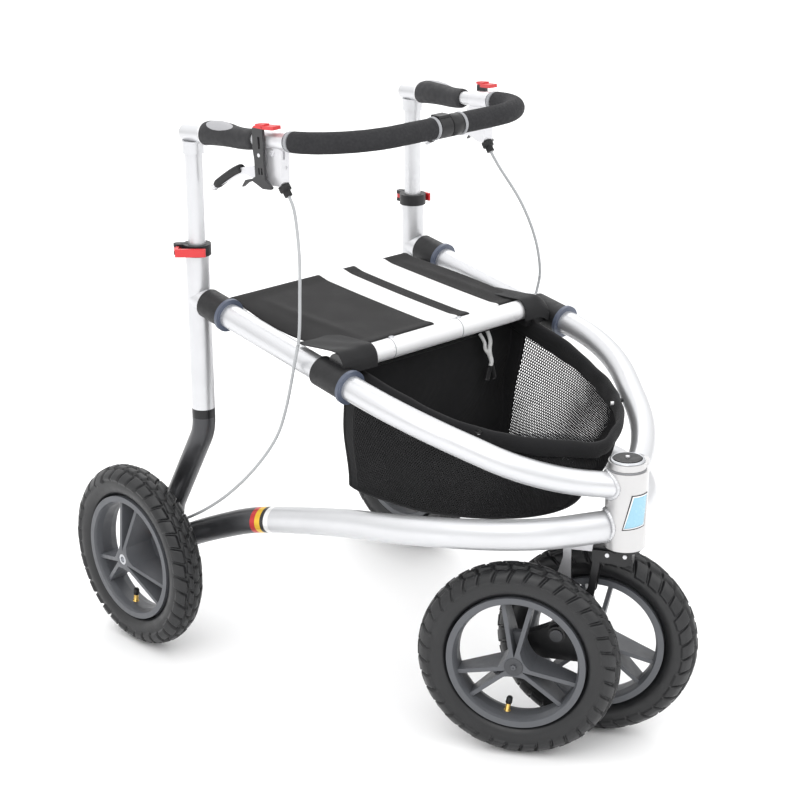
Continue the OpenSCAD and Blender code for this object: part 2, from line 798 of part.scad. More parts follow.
module clamp() {
    on_bar(clamp_at) {
        difference() {
            clamp_solid();
            translate([-head_d, 0, 0]) rotate([0, 90, 0])
                cylinder(r = bar_d / 2 + press_gap, h = head_d * 2);
            translate([-body_drop, -cheek_in, -body_drop * 2])
                cube([body_drop - room_front, cheek_in * 2, body_drop * 2 - room_top]);
            translate([end_x, slot_at[0], slot_at[1]]) cube([cheek_t, slot_size[0], slot_size[1]]);
            translate([end_x, eye_at[0], eye_at[1]]) rotate([0, 90, 0]) cylinder(r = eye_r, h = cheek_t);
            translate([screw_at[0], body_half, screw_at[1]]) rotate([-90, 0, 0])
                cylinder(r = screw_r / 2, h = screw_out * 2);
        }
        translate([pivot_x, 0, pivot_dz]) rotate([90, 0, 0])
            cylinder(r = pivot_r, h = 2 * body_half, center = true);
    }
}

module right_clamp() { color("silver") right_side() clamp(); }
module left_clamp() { color("silver") left_side() clamp(); }

// Dog-leg lever: a short thick arm that runs to a knee and a slim blade that falls to the round tip
lever_shares = [[0, 0.068], [-0.27, 0.06], [-0.42, 0.038], [-0.5, 0.023], [-0.576, -0.008], [-0.955, -0.197],
    [-0.924, -0.25], [-0.545, -0.068], [-0.485, -0.045], [-0.394, -0.045], [-0.227, -0.09], [0, -0.068]];
tip_share = [-0.975, -0.24];
tip_r = 5.5;
tip_shares = [[0, -1], [0.5, -1], [0.87, -0.7], [1, -0.3], [1, 0.3], [0.87, 0.7], [0.5, 1], [0, 1]];

module brake_lever() {
    on_bar(clamp_at) translate([pivot_x, 0, pivot_dz]) rotate([90, 0, 0]) difference() {
        union() {
            linear_extrude(lever_t, center = true) {
                circle(r = lever_eye_r);
                polygon([for (p = lever_shares) p * lever_len]);
            }
            translate(tip_share * lever_len) rotate_extrude()
                polygon([for (p = tip_shares) p * tip_r]);
        }
        cylinder(r = pivot_r + fit_gap, h = lever_t * 2, center = true);
    }
}

module right_brake_lever() { color("dimgray") right_side() brake_lever(); }
module left_brake_lever() { color("dimgray") left_side() brake_lever(); }

// Parking latch, a slotted plate beside the clamp with a thumb tab above and a hooked foot below
latch_x = -25;
latch_z = -20;
latch_in = 15.5;
latch_t = 5;
latch_w = 22;
latch_h = 95;
latch_shares = [[-0.45, 0.41], [-0.36, 0.45], [-0.23, 0.47], [0.36, 0.47], [0.52, 0.44], [0.55, 0.4],
    [0.52, 0.17], [0.41, -0.07], [0.41, -0.38], [0.73, -0.45], [1.02, -0.51], [0.91, -0.54], [0.14, -0.54],
    [-0.82, -0.43], [-1.32, -0.46], [-1.86, -0.54], [-1.95, -0.53], [-1.55, -0.42], [-0.86, -0.39],
    [-0.52, -0.35], [-0.48, -0.08], [-0.55, 0.1]];
window_at = [0.5, 10];
window_size = [4.5, 18];
vent_w = 3;
vent_h = 10;
vent_step = 6;
vent_at = [-3.5, -29.5];
tab_at = [-2, 8, 44];
tab_size = [18, 12.5, 3.5];
tab_lip_at = [12, 4, 39.5];
tab_lip_size = [24, 16.5, 5.5];

module latch() {
    on_bar(clamp_at) translate([latch_x, 0, latch_z]) difference() {
        union() {
            translate([0, latch_in + latch_t, 0]) rotate([90, 0, 0]) linear_extrude(latch_t)
                polygon([for (p = latch_shares) [p[0] * latch_w, p[1] * latch_h]]);
            translate(tab_at) cube(tab_size);
            translate(tab_lip_at) cube(tab_lip_size);
        }
        rotate([-90, 0, 0]) cylinder(r = pivot_r + fit_gap, h = head_d);
        translate([window_at[0], 0, window_at[1]]) cube([window_size[0], head_d, window_size[1]]);
        for (k = [0, 1]) translate([vent_at[0] + k * vent_step, 0, vent_at[1]])
            cube([vent_w, head_d, vent_h]);
    }
}

module right_latch() { color("black") right_side() latch(); }
module left_latch() { color("black") left_side() latch(); }

// Brake cable from the lever to the brake plate arm
cable_gap = 1;
cable_y = boss_end + plate_t + cable_d / 2 + body_gap;
cable_start = bar_rear + bar_line * (clamp_at + adjust_x) + bar_up * adjust_z
    + (bar_line * sin(adjust_turn) - bar_up * cos(adjust_turn)) * cable_gap;
cable_end = axle_at + [arm_len * cos(arm_turn), cable_y - half_gap, arm_len * sin(arm_turn)];
cable_points = [cable_start, [225, 219, 790], [256, 238, 735], [274, 254, 676], [280, 262, 620],
    [271, 264, 577], [245, 264, 490], [216, 264, 433], [160, 264, 368], [95, 264, 309], [29, 264, 261],
    cable_end];
cable_steps = 5;
cable_path = curve(cable_points, cable_steps);
cable_ds = [for (p = cable_path) cable_d];
cable_sides = 8;

module right_cable() { color("gray") right_side() swept(cable_path, cable_sides, cable_ds, cable_ds); }
module left_cable() { color("gray") left_side() swept(cable_path, cable_sides, cable_ds, cable_ds); }

// Wheel, drawn with its axle along Y and its middle plane at Y = 0
tyre_r = tyre_w / 2;
tread_d = 4;
carcass_r = tyre_r - tread_d;
slot_w = 7;
slot_skew = 24;
crown_w = 5;
rim_w = 46;
rim_t = 9.5;
rim_shares = [[0, -0.5], [-1, -0.5], [-1.2, -0.42], [-1.5, -0.2], [-1.5, 0.2], [-1.2, 0.42], [-1, 0.5],
    [0, 0.5]];
spoke_t = 6.5;
spoke_spread = 13;
spoke_out = 15;
spoke_in = 14;
hub_r = 15;
hub_deep = 24;
root_len = 42;
root_turn = 60 - spoke_spread;
pair_web = 46;
pair_web_t = 12;
hub_cap_t = 4;
drum_r = 46;
drum_in = 27;
drum_out = 45;
pair_turns = [90, 210, 330];
pair_sides = [-1, 1];

module ring_of(r, cut) {
    rotate_extrude($fn = 96) difference() {
        translate([core_r, 0]) circle(r = r);
        translate([core_r - tyre_w, -tyre_w]) square([tyre_w + cut - core_r, tyre_w * 2]);
    }
}

module tyre() {
    rotate([90, 0, 0]) {
        ring_of(carcass_r, rim_r + seat_gap);
        difference() {
            ring_of(tyre_r, core_r + tread_d);
            for (k = [0 : tread_count - 1], s = pair_sides)
                rotate(360 * (k + s / 4) / tread_count) translate([core_r, -slot_w / 2, 0])
                    rotate([s * slot_skew, 0, 0]) translate([0, 0, s > 0 ? crown_w : -crown_w - tyre_w])
                        cube([tyre_w, slot_w, tyre_w]);
        }
    }
}

// Three pairs of deep spokes, joined at the hub by wide hollow curves
module spoke_plan() {
    circle(r = hub_r);
    for (a = pair_turns, s = pair_sides) rotate(a + s * spoke_spread)
        translate([0, -spoke_t / 2]) square([rim_r - rim_t, spoke_t]);
    for (a = pair_turns) rotate(a + 60) difference() {
        polygon([[0, 0], root_len * [cos(root_turn), sin(root_turn)],
            root_len * [cos(root_turn), -sin(root_turn)]]);
        translate([root_len / cos(root_turn), 0]) circle(r = root_len * tan(root_turn));
    }
}

module pair_plan() {
    for (a = pair_turns) rotate(a) polygon([[0, 0], pair_web * [cos(spoke_spread), sin(spoke_spread)],
        pair_web * [cos(spoke_spread), -sin(spoke_spread)]]);
}

module wheel_body(inner, drum) {
    rotate([90, 0, 0]) difference() {
        union() {
            rotate_extrude($fn = 96) polygon([for (p = rim_shares) [rim_r + p[0] * rim_t, p[1] * rim_w]]);
            intersection() {
                linear_extrude(2 * hub_out, center = true) spoke_plan();
                rotate_extrude($fn = 96) polygon([[0, -hub_out], [hub_r, -hub_out],
                    [rim_r - rim_t, -spoke_out], [rim_r - rim_t, spoke_in], [hub_r, hub_deep],
                    [0, hub_deep]]);
            }
            linear_extrude(pair_web_t, center = true) pair_plan();
            translate([0, 0, -hub_out]) cylinder(r = hub_r, h = hub_out + inner);
            if (drum) translate([0, 0, drum_in - spoke_t])
                cylinder(r = drum_r, h = drum_out - drum_in + spoke_t);
        }
        translate([0, 0, drum ? -rear_track : hub_cap_t - hub_out])
            cylinder(r = axle_r + fit_gap, h = rear_track * 2);
        if (drum) translate([0, 0, -hub_out - nut_h])
            cylinder(r = nut_r + body_gap, h = nut_h * 2 + body_gap * 2);
    }
}

module rear_wheel() {
    translate([-rear_axle_back, wheel_y, wheel_r]) children();
}

module right_rear_tyre() { color("black") right_side() rear_wheel() tyre(); }
module left_rear_tyre() { color("black") left_side() rear_wheel() tyre(); }
module right_rear_rim() { color("dimgray") right_side() rear_wheel() wheel_body(drum_out, true); }
module left_rear_rim() { color("dimgray") left_side() rear_wheel() wheel_body(drum_out, true); }

// Fork group, drawn straight ahead about the head axis and then turned
module fork_frame() {
    placed() translate([head_x, 0, 0]) rotate(steer_rest) children();
}

crown_half = 11;
crown_front = 14;
crown_back = 46;
crown_h = 26;
race_h = 3;
crown_top = head_z - body_gap - race_h;
plate_shares = [[-1, -0.135], [0.3, -0.135], [0.3, -0.55], [0.12, -0.98], [-0.1, -1.02], [-0.3, -0.85],
    [-1, -0.85]];
side_t = 5;
arm_r = 14;
arm_thick = 11;
neck_at = [-38, 320];
knee_at = [-47, 256];
swing_r = 7;
swing_more = 3;
cap_r = 21;
cap_low = 0.6;
cap_full = 3;
bolt_r = 3.2;
bolt_h = 2.5;
bolt_share = 0.36;

module fork_crown() {
    color("dimgray") fork_frame() {
        translate([-crown_back, -crown_half, crown_top - crown_h])
            cube([crown_back + crown_front, 2 * crown_half, crown_h]);
        translate([0, 0, crown_top - race_h]) cylinder(r = lip_r - race_h, h = race_h * 2);
        translate([0, 0, crown_top]) cylinder(r = steerer_r, h = head_top + lip_h - crown_top);
    }
}

// A flat bar with round ends, drawn in the plane of the fork's side
module flat_bar(p, q, w) {
    translate(p) rotate(atan2(q[1] - p[1], q[0] - p[0])) translate([0, -w / 2]) square([norm(q - p), w]);
    translate(q) circle(d = w);
}

module side_plate() {
    difference() {
        rotate([90, 0, 0]) linear_extrude(side_t, center = true) {
            polygon([for (p = plate_shares) [p[0] * crown_back, crown_top + p[1] * crown_h]]);
            flat_bar(neck_at, knee_at, arm_thick);
            flat_bar(knee_at, [-pivot_back, pivot_z], arm_thick);
            translate([-pivot_back, pivot_z]) circle(r = arm_r);
        }
        translate([-pivot_back, 0, pivot_z]) rotate([90, 0, 0])
            cylinder(r = swing_r + seat_gap, h = side_t * 3, center = true);
    }
}

module fork_plates() {
    color("black") fork_frame()
        for (s = pair_sides) translate([0, s * (crown_half + side_t / 2), 0]) side_plate();
}

module fork_bolts() {
    color("white") fork_frame() {
        translate([-pivot_back, 0, pivot_z]) rotate([90, 0, 0])
            cylinder(r = swing_r, h = 2 * (crown_half + side_t), center = true);
        for (s = pair_sides, x = [-crown_back / 2, crown_front / 4])
            translate([x, s * (crown_half + side_t), crown_top - crown_h * bolt_share])
                rotate([-s * 90, 0, 0]) cylinder(r = bolt_r, h = bolt_h);
        for (s = pair_sides) translate([-pivot_back, s * (crown_half + side_t), pivot_z])
            rotate([-s * 90, 0, 0]) cylinder(r = swing_r + swing_more, h = bolt_h);
        translate([0, 0, head_top + lip_h + cap_low + cap_full]) cylinder(r = bolt_r, h = bolt_h);
    }
}

module head_cap() {
    color("black") fork_frame() translate([0, 0, head_top + lip_h + cap_low]) {
        translate([0, 0, -cap_low]) cylinder(r = steerer_r, h = cap_low);
        cylinder(r = cap_r, h = cap_full);
    }
}

// Bright bracket behind the crown
stay_x = 80;
stay_w = 12;
stay_low = 270;
stay_foot = 20;

module fork_bracket() {
    color("silver") fork_frame() {
        translate([-stay_x, 0, 0]) rotate([90, 0, 0]) linear_extrude(side_t, center = true)
            polygon([[0, stay_low], [-stay_foot, stay_low + stay_foot / 2], [-stay_w, crown_top - crown_h],
                [-stay_w, crown_top], [stay_x - crown_back, crown_top],
                [stay_x - crown_back, crown_top - stay_w], [0, crown_top - stay_w]]);
    }
}

beam_half = 10;
beam_r = 17;
beam_end_share = 0.8;
beam_top_share = 0.7;
beam_neck_share = 0.6;
rear_pin = [-pivot_back - wheel_base / 2, wheel_r];
front_pin = [-pivot_back + wheel_base / 2, wheel_r];

module bogie_beam() {
    color("black") fork_frame() difference() {
        rotate([90, 0, 0]) linear_extrude(2 * beam_half, center = true) {
            translate(rear_pin) circle(r = beam_r);
            translate(front_pin) circle(r = beam_r);
            translate([-pivot_back, pivot_z]) circle(r = beam_r);
            polygon([rear_pin + [0, -beam_r], front_pin + [0, -beam_r],
                front_pin + [beam_r / 2, beam_r * beam_end_share],
                [-pivot_back + beam_r * beam_neck_share, pivot_z + beam_r * beam_top_share],
                [-pivot_back - beam_r * beam_neck_share, pivot_z + beam_r * beam_top_share],
                rear_pin + [-beam_r / 2, beam_r * beam_end_share]]);
        }
        translate([-pivot_back, 0, pivot_z]) rotate([90, 0, 0])
            cylinder(r = swing_r + fit_gap, h = head_d, center = true);
        for (p = [rear_pin, front_pin]) translate([p[0], 0, p[1]]) rotate([90, 0, 0])
            cylinder(r = axle_r + seat_gap, h = head_d, center = true);
    }
}

// Front axle pins, each with a shoulder beside the beam
front_in = 27;
lane = lane_gap / 2;
pin_len = lane + hub_out - hub_cap_t - body_gap + beam_half;

module bogie_axles() {
    color("gray") fork_frame() for (s = pair_sides)
        translate([s < 0 ? rear_pin[0] : front_pin[0], -s * beam_half, wheel_r]) rotate([-s * 90, 0, 0]) {
            cylinder(r = axle_r, h = pin_len);
            translate([0, 0, beam_half * 2])
                cylinder(r = nut_r, h = lane - front_in - beam_half - body_gap);
        }
}

module front_wheel(s) {
    translate([s < 0 ? rear_pin[0] : front_pin[0], s * lane, wheel_r])
        mirror([0, s < 0 ? 1 : 0, 0]) children();
}

module right_front_tyre() { color("black") fork_frame() front_wheel(-1) tyre(); }
module left_front_tyre() { color("black") fork_frame() front_wheel(1) tyre(); }
module right_front_rim() { color("dimgray") fork_frame() front_wheel(-1) wheel_body(front_in, false); }
module left_front_rim() { color("dimgray") fork_frame() front_wheel(1) wheel_body(front_in, false); }

head_tube();
hinge_pin();
right_upper_tube();
right_lower_tube();
right_upright();
right_axle();
right_brake_plate();
right_collar();
right_rings();
right_cable();
basket();
hinge_barrel();
left_upper_tube();
left_lower_tube();
left_upright();
left_axle();
left_brake_plate();
left_collar();
left_rings();
left_cable();
left_rear_sleeve();
left_front_sleeve();
right_rear_sleeve();
right_front_sleeve();
rear_crossbar();
front_crossbar();
seat();
right_post();
left_post();
right_bar();
right_grip();
right_foam();
bar_connector();
right_clamp();
left_bar();
left_grip();
left_foam();
left_clamp();
right_qr_lever();
left_qr_lever();
right_brake_lever();
left_brake_lever();
right_latch();
left_latch();
right_rear_tyre();
right_rear_rim();
left_rear_tyre();
left_rear_rim();
fork_crown();
fork_plates();
fork_bolts();
head_cap();
fork_bracket();
bogie_beam();
bogie_axles();
right_front_tyre();
right_front_rim();
left_front_tyre();
left_front_rim();
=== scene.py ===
import math
import bmesh
import bpy
import numpy as np
from mathutils import Vector, Matrix, noise


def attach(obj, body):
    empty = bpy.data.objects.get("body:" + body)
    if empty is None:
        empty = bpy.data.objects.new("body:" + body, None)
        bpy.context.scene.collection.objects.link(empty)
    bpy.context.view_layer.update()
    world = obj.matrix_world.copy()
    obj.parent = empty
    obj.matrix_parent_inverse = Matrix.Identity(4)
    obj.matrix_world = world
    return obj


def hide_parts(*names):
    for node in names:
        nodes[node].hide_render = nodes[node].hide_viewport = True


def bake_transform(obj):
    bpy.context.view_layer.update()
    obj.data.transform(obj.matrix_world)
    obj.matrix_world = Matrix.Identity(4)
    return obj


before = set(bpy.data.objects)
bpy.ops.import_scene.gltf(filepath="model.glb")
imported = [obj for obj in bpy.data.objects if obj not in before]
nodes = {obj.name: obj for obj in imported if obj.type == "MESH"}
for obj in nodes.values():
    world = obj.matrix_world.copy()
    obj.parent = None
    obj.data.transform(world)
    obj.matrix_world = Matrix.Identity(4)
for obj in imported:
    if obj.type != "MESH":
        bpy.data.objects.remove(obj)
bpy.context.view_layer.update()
scene = bpy.context.scene
SHIFT = -0.2629275
SIDES = ((-1, "right"), (1, "left"))
# Places in millimetres: upright, rear axle, wheel, head tube and the front of the handle
HALF_GAP = 235
AXLE_X, HUB_Y, WHEEL_R = -97, 310, 156
HEAD_X, HEAD_R = 708, 31
HANDLE_X, HANDLE_Z = 326, 907


def P(x, y, z):
    """A point given in millimetres from the upright's axis, as a vector in the row frame."""
    return Vector((x / 1000 + SHIFT, y / 1000, z / 1000))


# Camera, as solved on the photograph

YAW, PITCH, ROLL = 46.998, 19.727, -0.254
CAMERA_AT = (2534.79, -2142.56, 1572.24)
FOCAL, PICTURE, SENSOR = 2054.9, 800, 36
MIDDLE = (407.79, 397.53)
FAR = 50


def camera():
    yaw, pitch, roll = (math.radians(a) for a in (YAW, PITCH, ROLL))
    forward = Vector((-math.sin(yaw) * math.cos(pitch), math.cos(yaw) * math.cos(pitch), -math.sin(pitch)))
    right = Vector((math.cos(yaw), math.sin(yaw), 0))
    up = right.cross(forward)
    r = right * math.cos(roll) + up * math.sin(roll)
    u = up * math.cos(roll) - right * math.sin(roll)
    data = bpy.data.cameras.new("camera")
    cam = bpy.data.objects.new("camera", data)
    scene.collection.objects.link(cam)
    m = Matrix((r, u, -forward)).transposed().to_4x4()
    m.translation = P(*CAMERA_AT)
    cam.matrix_world = m
    data.sensor_width = SENSOR
    data.lens = FOCAL * SENSOR / PICTURE
    data.shift_x = (PICTURE / 2 - MIDDLE[0]) / PICTURE
    data.shift_y = (MIDDLE[1] - PICTURE / 2) / PICTURE
    data.clip_end = FAR
    scene.camera = cam


camera()

# Materials

NOISE_LOW, NOISE_HIGH = 0.3, 0.7
DUST = (0.3, 0.3, 0.31)
CLOTH_SPEC, CLOTH_SHEEN = 0.22, 0.06


def nodes_of(name):
    m = bpy.data.materials.new(name)
    m.use_nodes = True
    t = m.node_tree
    return m, t, t.nodes["Principled BSDF"]


def node(t, kind, **values):
    n = t.nodes.new(kind)
    for k, v in values.items():
        if k in n.inputs:
            n.inputs[k].default_value = v
        else:
            setattr(n, k, v)
    return n


def mixed(t, fac, a, b):
    n = node(t, "ShaderNodeMix", data_type="RGBA")
    for s, v in ((n.inputs[0], fac), (n.inputs[6], a), (n.inputs[7], b)):
        if hasattr(v, "is_output"):
            t.links.new(v, s)
        else:
            s.default_value = v if not isinstance(v, tuple) else (*v, 1)[:4]
    return n.outputs[2]


def math_node(t, op, a, b=0.0):
    n = node(t, "ShaderNodeMath", operation=op)
    for s, v in ((n.inputs[0], a), (n.inputs[1], b)):
        if hasattr(v, "is_output"):
            t.links.new(v, s)
        else:
            s.default_value = v
    return n.outputs[0]


def coords(t):
    return node(t, "ShaderNodeTexCoord").outputs["Object"]


def noise_of(t, scale, detail=4.0):
    n = node(t, "ShaderNodeTexNoise", Scale=scale, Detail=detail, Roughness=0.5)
    t.links.new(coords(t), n.inputs["Vector"])
    return n.outputs["Fac"]


def map_range(t, value, start, end, low, high):
    n = node(t, "ShaderNodeMapRange")
    t.links.new(value, n.inputs["Value"])
    for key, number in (("From Min", start), ("From Max", end), ("To Min", low), ("To Max", high)):
        n.inputs[key].default_value = number
    return n.outputs["Result"]


def spread(t, value, low, high):
    """A noise value, spread over low to high."""
    return map_range(t, value, NOISE_LOW, NOISE_HIGH, low, high)


def bump(t, shader, height, strength, distance=0.001):
    n = node(t, "ShaderNodeBump", Strength=strength, Distance=distance)
    t.links.new(height, n.inputs["Height"])
    t.links.new(n.outputs["Normal"], shader.inputs["Normal"])


def surface(name, colour, rough, metal=0.0, vary=0.12, scale=14.0, grain=900.0, grip=0.15, coat=0.0,
            spec=0.5):
    """A rigid finish: broad colour change, uneven gloss and a fine grain."""
    m, t, b = nodes_of(name)
    broad = noise_of(t, scale, 5.0)
    dark = tuple(c * (1 - vary) for c in colour)
    light = tuple(min(1, c * (1 + vary)) for c in colour)
    t.links.new(mixed(t, broad, dark, light), b.inputs["Base Color"])
    gloss = spread(t, noise_of(t, scale * 4, 6.0), rough * 0.82, min(1, rough * 1.2))
    t.links.new(gloss, b.inputs["Roughness"])
    bump(t, b, noise_of(t, grain, 3.0), grip, 0.0004)
    b.inputs["Metallic"].default_value = metal
    b.inputs["Specular IOR Level"].default_value = spec
    b.inputs["Coat Weight"].default_value = coat
    b.inputs["Coat Roughness"].default_value = 0.2
    return m


def bands(name, axis, stops, rough, metal, coat=0.2):
    """Paint in bands along one axis: stops are (place in metres, colour), each from its place on."""
    m, t, b = nodes_of(name)
    split = node(t, "ShaderNodeSeparateXYZ")
    t.links.new(coords(t), split.inputs[0])
    along = split.outputs[axis]
    out = stops[0][1]
    for place, c in stops[1:]:
        out = mixed(t, math_node(t, "GREATER_THAN", along, place), out, c)
    shade = mixed(t, spread(t, noise_of(t, 10, 5.0), 0.0, 0.1), out, DUST)
    t.links.new(shade, b.inputs["Base Color"])
    t.links.new(spread(t, noise_of(t, 40, 6.0), rough * 0.85, rough * 1.2), b.inputs["Roughness"])
    bump(t, b, noise_of(t, 1500, 2.0), 0.06, 0.0003)
    b.inputs["Metallic"].default_value = metal
    b.inputs["Coat Weight"].default_value = coat
    b.inputs["Coat Roughness"].default_value = 0.18
    return m


def weave(name, colour, pitch=0.0011, rough=0.85, stripes=None):
    """Woven cloth: over and under threads as bump, colour changing a little thread by thread."""
    m, t, b = nodes_of(name)
    where = coords(t)
    heights = []
    wave_scale = 0.05 / pitch * 6.28
    for direction in ("X", "Y"):
        w = node(t, "ShaderNodeTexWave", Scale=wave_scale, bands_direction=direction, wave_profile="SIN")
        w.inputs["Distortion"].default_value = 0.6
        w.inputs["Detail Scale"].default_value = 2.0
        t.links.new(where, w.inputs["Vector"])
        heights.append(w.outputs["Fac"])
    threads = math_node(t, "MULTIPLY", heights[0], heights[1])
    soft = noise_of(t, 22, 6.0)
    base = mixed(t, soft, tuple(c * 0.72 for c in colour), tuple(min(1, c * 1.35) for c in colour))
    if stripes:
        split = node(t, "ShaderNodeSeparateXYZ")
        t.links.new(where, split.inputs[0])
        y = split.outputs["Y"]
        for low, high, c in stripes:
            above = math_node(t, "GREATER_THAN", y, low)
            below = math_node(t, "LESS_THAN", y, high)
            base = mixed(t, math_node(t, "MULTIPLY", above, below), base, c)
    shaded = mixed(t, math_node(t, "MULTIPLY", threads, 0.25), base, (0.0, 0.0, 0.0))
    t.links.new(shaded, b.inputs["Base Color"])
    t.links.new(spread(t, soft, rough * 0.9, min(1, rough * 1.1)), b.inputs["Roughness"])
    bump(t, b, threads, 0.4, 0.0005)
    b.inputs["Specular IOR Level"].default_value = CLOTH_SPEC
    b.inputs["Sheen Weight"].default_value = CLOTH_SHEEN
    b.inputs["Sheen Roughness"].default_value = 0.5
    return m


SILVER = (0.62, 0.625, 0.64)
CHARCOAL = (0.05, 0.051, 0.055)
BLACK = (0.012, 0.012, 0.013)
WHITE = (0.86, 0.86, 0.86)
RED = (0.60, 0.022, 0.025)
YELLOW = (0.85, 0.52, 0.02)
CAST = (0.66, 0.66, 0.68)
BAR_WHITE = (0.78, 0.78, 0.79)

silver = surface("silver_paint", SILVER, 0.34, metal=0.75, vary=0.04, scale=6, grain=2200, grip=0.05,
                 coat=0.15)
white_paint = surface("white_paint", BAR_WHITE, 0.3, metal=0.1, vary=0.03, scale=8, grain=1800,
                      grip=0.04, coat=0.3)
head_silver = surface("head_silver", (0.56, 0.555, 0.555), 0.36, metal=0.8, vary=0.03, scale=8, grain=1600,
                      grip=0.08)
cast = surface("cast_silver", CAST, 0.36, metal=0.6, vary=0.05, scale=30, grain=1400, grip=0.12)
steel = surface("steel", (0.5, 0.51, 0.53), 0.32, metal=1.0, vary=0.08, scale=60, grain=1800, grip=0.1)
black_plastic = surface("black_plastic", BLACK, 0.42, vary=0.2, scale=30, grain=1200, grip=0.2,
                        spec=0.35)
black_paint = surface("black_coat", (0.011, 0.011, 0.012), 0.35, metal=0.1, vary=0.15, scale=20, grain=1600,
                      grip=0.12, coat=0.1, spec=0.4)
sleeve_rubber = surface("sleeve_rubber", (0.013, 0.013, 0.014), 0.5, vary=0.5, scale=45, grain=700, grip=0.25,
                        spec=0.35)
red_plastic = surface("red_plastic", RED, 0.35, vary=0.1, scale=40, grain=1200, grip=0.08, coat=0.2)
ring_plastic = surface("ring_plastic", (0.075, 0.09, 0.13), 0.38, vary=0.12, scale=40, grain=1200, grip=0.1)
grip_rubber = surface("grip_rubber", (0.024, 0.024, 0.026), 0.62, vary=0.15, scale=30, grain=1600, grip=0.35,
                      spec=0.35)
inlay_grey = surface("inlay_grey", (0.34, 0.34, 0.355), 0.6, vary=0.08, scale=60, grain=1500, grip=0.3)
grey_plastic = surface("grey_plastic", (0.28, 0.285, 0.30), 0.45, vary=0.08, scale=60, grain=1500, grip=0.1)
foam_skin = surface("foam_skin", (0.024, 0.024, 0.026), 0.85, vary=0.2, scale=60, grain=1300, grip=0.6,
                    spec=0.25)
rim_grey = surface("rim_grey", (0.088, 0.092, 0.101), 0.45, vary=0.1, scale=18, grain=1100, grip=0.25)
tyre_rubber = surface("tyre_rubber", (0.0085, 0.0088, 0.0098), 0.40, vary=0.3, scale=16, grain=900, grip=0.25)
cable_skin = surface("cable_skin", (0.36, 0.37, 0.38), 0.4, vary=0.1, scale=40, grain=1600, grip=0.15)
brass = surface("brass", (0.60, 0.40, 0.12), 0.3, metal=1.0, vary=0.15, scale=90, grain=1500, grip=0.1)
orange_paint = surface("orange_paint", (0.75, 0.22, 0.02), 0.4, vary=0.1, scale=60, grain=1200, grip=0.1)
hub_grey = surface("hub_grey", (0.045, 0.047, 0.052), 0.45, vary=0.12, scale=40, grain=1100, grip=0.2)
badge_blue = surface("badge_blue", (0.27, 0.49, 0.61), 0.25, vary=0.08, scale=30, grain=900, grip=0.03,
                     coat=0.5)
cloth_black = weave("cloth_black", (0.011, 0.011, 0.012))
net_black = surface("net_black", (0.014, 0.014, 0.015), 0.7, vary=0.2, scale=200, grain=2500, grip=0.4,
                    spec=0.3)
strap_black = weave("strap_black", (0.013, 0.013, 0.014), pitch=0.0016, rough=0.7)
cord_white = weave("cord_white", (0.75, 0.75, 0.74), pitch=0.0012, rough=0.8)
seat_cloth = weave("seat_cloth", (0.015, 0.0145, 0.015),
                   stripes=[(-0.022, 0.031, WHITE), (0.056, 0.122, WHITE)])

# Paint in bands; the first colour starts well before the part
START = -9
low_stops = [(START, CHARCOAL), (0.1343 + SHIFT, RED), (0.1464 + SHIFT, YELLOW), (0.1593 + SHIFT, BLACK),
             (0.1682 + SHIFT, WHITE), (0.1796 + SHIFT, SILVER)]
low_paint = bands("lower_tube_paint", "X", low_stops, 0.34, 0.62)
up_paint = bands("upright_paint", "Z", [(START, CHARCOAL), (0.4113, BLACK), (0.4267, SILVER)], 0.34, 0.7)
bolt_paint = bands("fork_bolt_paint", "Z", [(START, CHARCOAL), (0.26, CAST)], 0.36, 0.6)
bar_paint = bands("front_bar_paint", "Y", [(START, BLACK), (-0.186, BAR_WHITE), (0.186, BLACK)], 0.3, 0.1,
                  coat=0.3)
latch_paint = bands("latch_paint", "Z", [(START, BLACK), (0.9145, RED)], 0.4, 0.0, coat=0.1)


def paint(material, *names):
    for n in names:
        d = nodes[n].data
        d.materials.clear()
        d.materials.append(material)


def both(*names):
    return [s + n for s in ("right_", "left_") for n in names]


paint(head_silver, "head_tube")
paint(silver, "hinge_barrel", *both("upper_tube", "post", "bar"))
paint(low_paint, *both("lower_tube"))
paint(up_paint, *both("upright"))
paint(steel, "hinge_pin", "bogie_axles", *both("axle"))
paint(black_paint, "fork_plates", "fork_crown", "bogie_beam", *both("brake_plate"))
paint(black_plastic, "head_cap", "bar_connector", *both("collar"))
paint(latch_paint, *both("latch"))
paint(sleeve_rubber, *both("rear_sleeve", "front_sleeve"))
paint(ring_plastic, *both("rings"))
paint(white_paint, "rear_crossbar")
paint(bar_paint, "front_crossbar")
paint(red_plastic, *both("qr_lever"))
paint(bolt_paint, "fork_bolts")
paint(cast, "fork_bracket", *both("clamp", "brake_lever"))
paint(rim_grey, *both("rear_rim", "front_rim"))
paint(tyre_rubber, *both("rear_tyre", "front_tyre"))
paint(cloth_black, "seat", "basket")
paint(cable_skin, *both("cable"))
paint(grip_rubber, *both("grip"))
paint(foam_skin, *both("foam"))

# Mesh helpers

def made(name, verts, faces, material, body=None):
    d = bpy.data.meshes.new(name)
    d.from_pydata([tuple(v) for v in verts], [], [tuple(f) for f in faces])
    d.materials.append(material)
    d.polygons.foreach_set("use_smooth", [True] * len(d.polygons))
    d.update()
    o = bpy.data.objects.new(name, d)
    scene.collection.objects.link(o)
    if body:
        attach(o, body)
    return o


def grid_faces(nu, nv, loop_u=False, loop_v=False):
    out = []
    for i in range(nu if loop_u else nu - 1):
        for j in range(nv if loop_v else nv - 1):
            a, b = i * nv + j, i * nv + (j + 1) % nv
            c, d = ((i + 1) % nu) * nv + (j + 1) % nv, ((i + 1) % nu) * nv + j
            out.append((a, b, c, d))
    return out


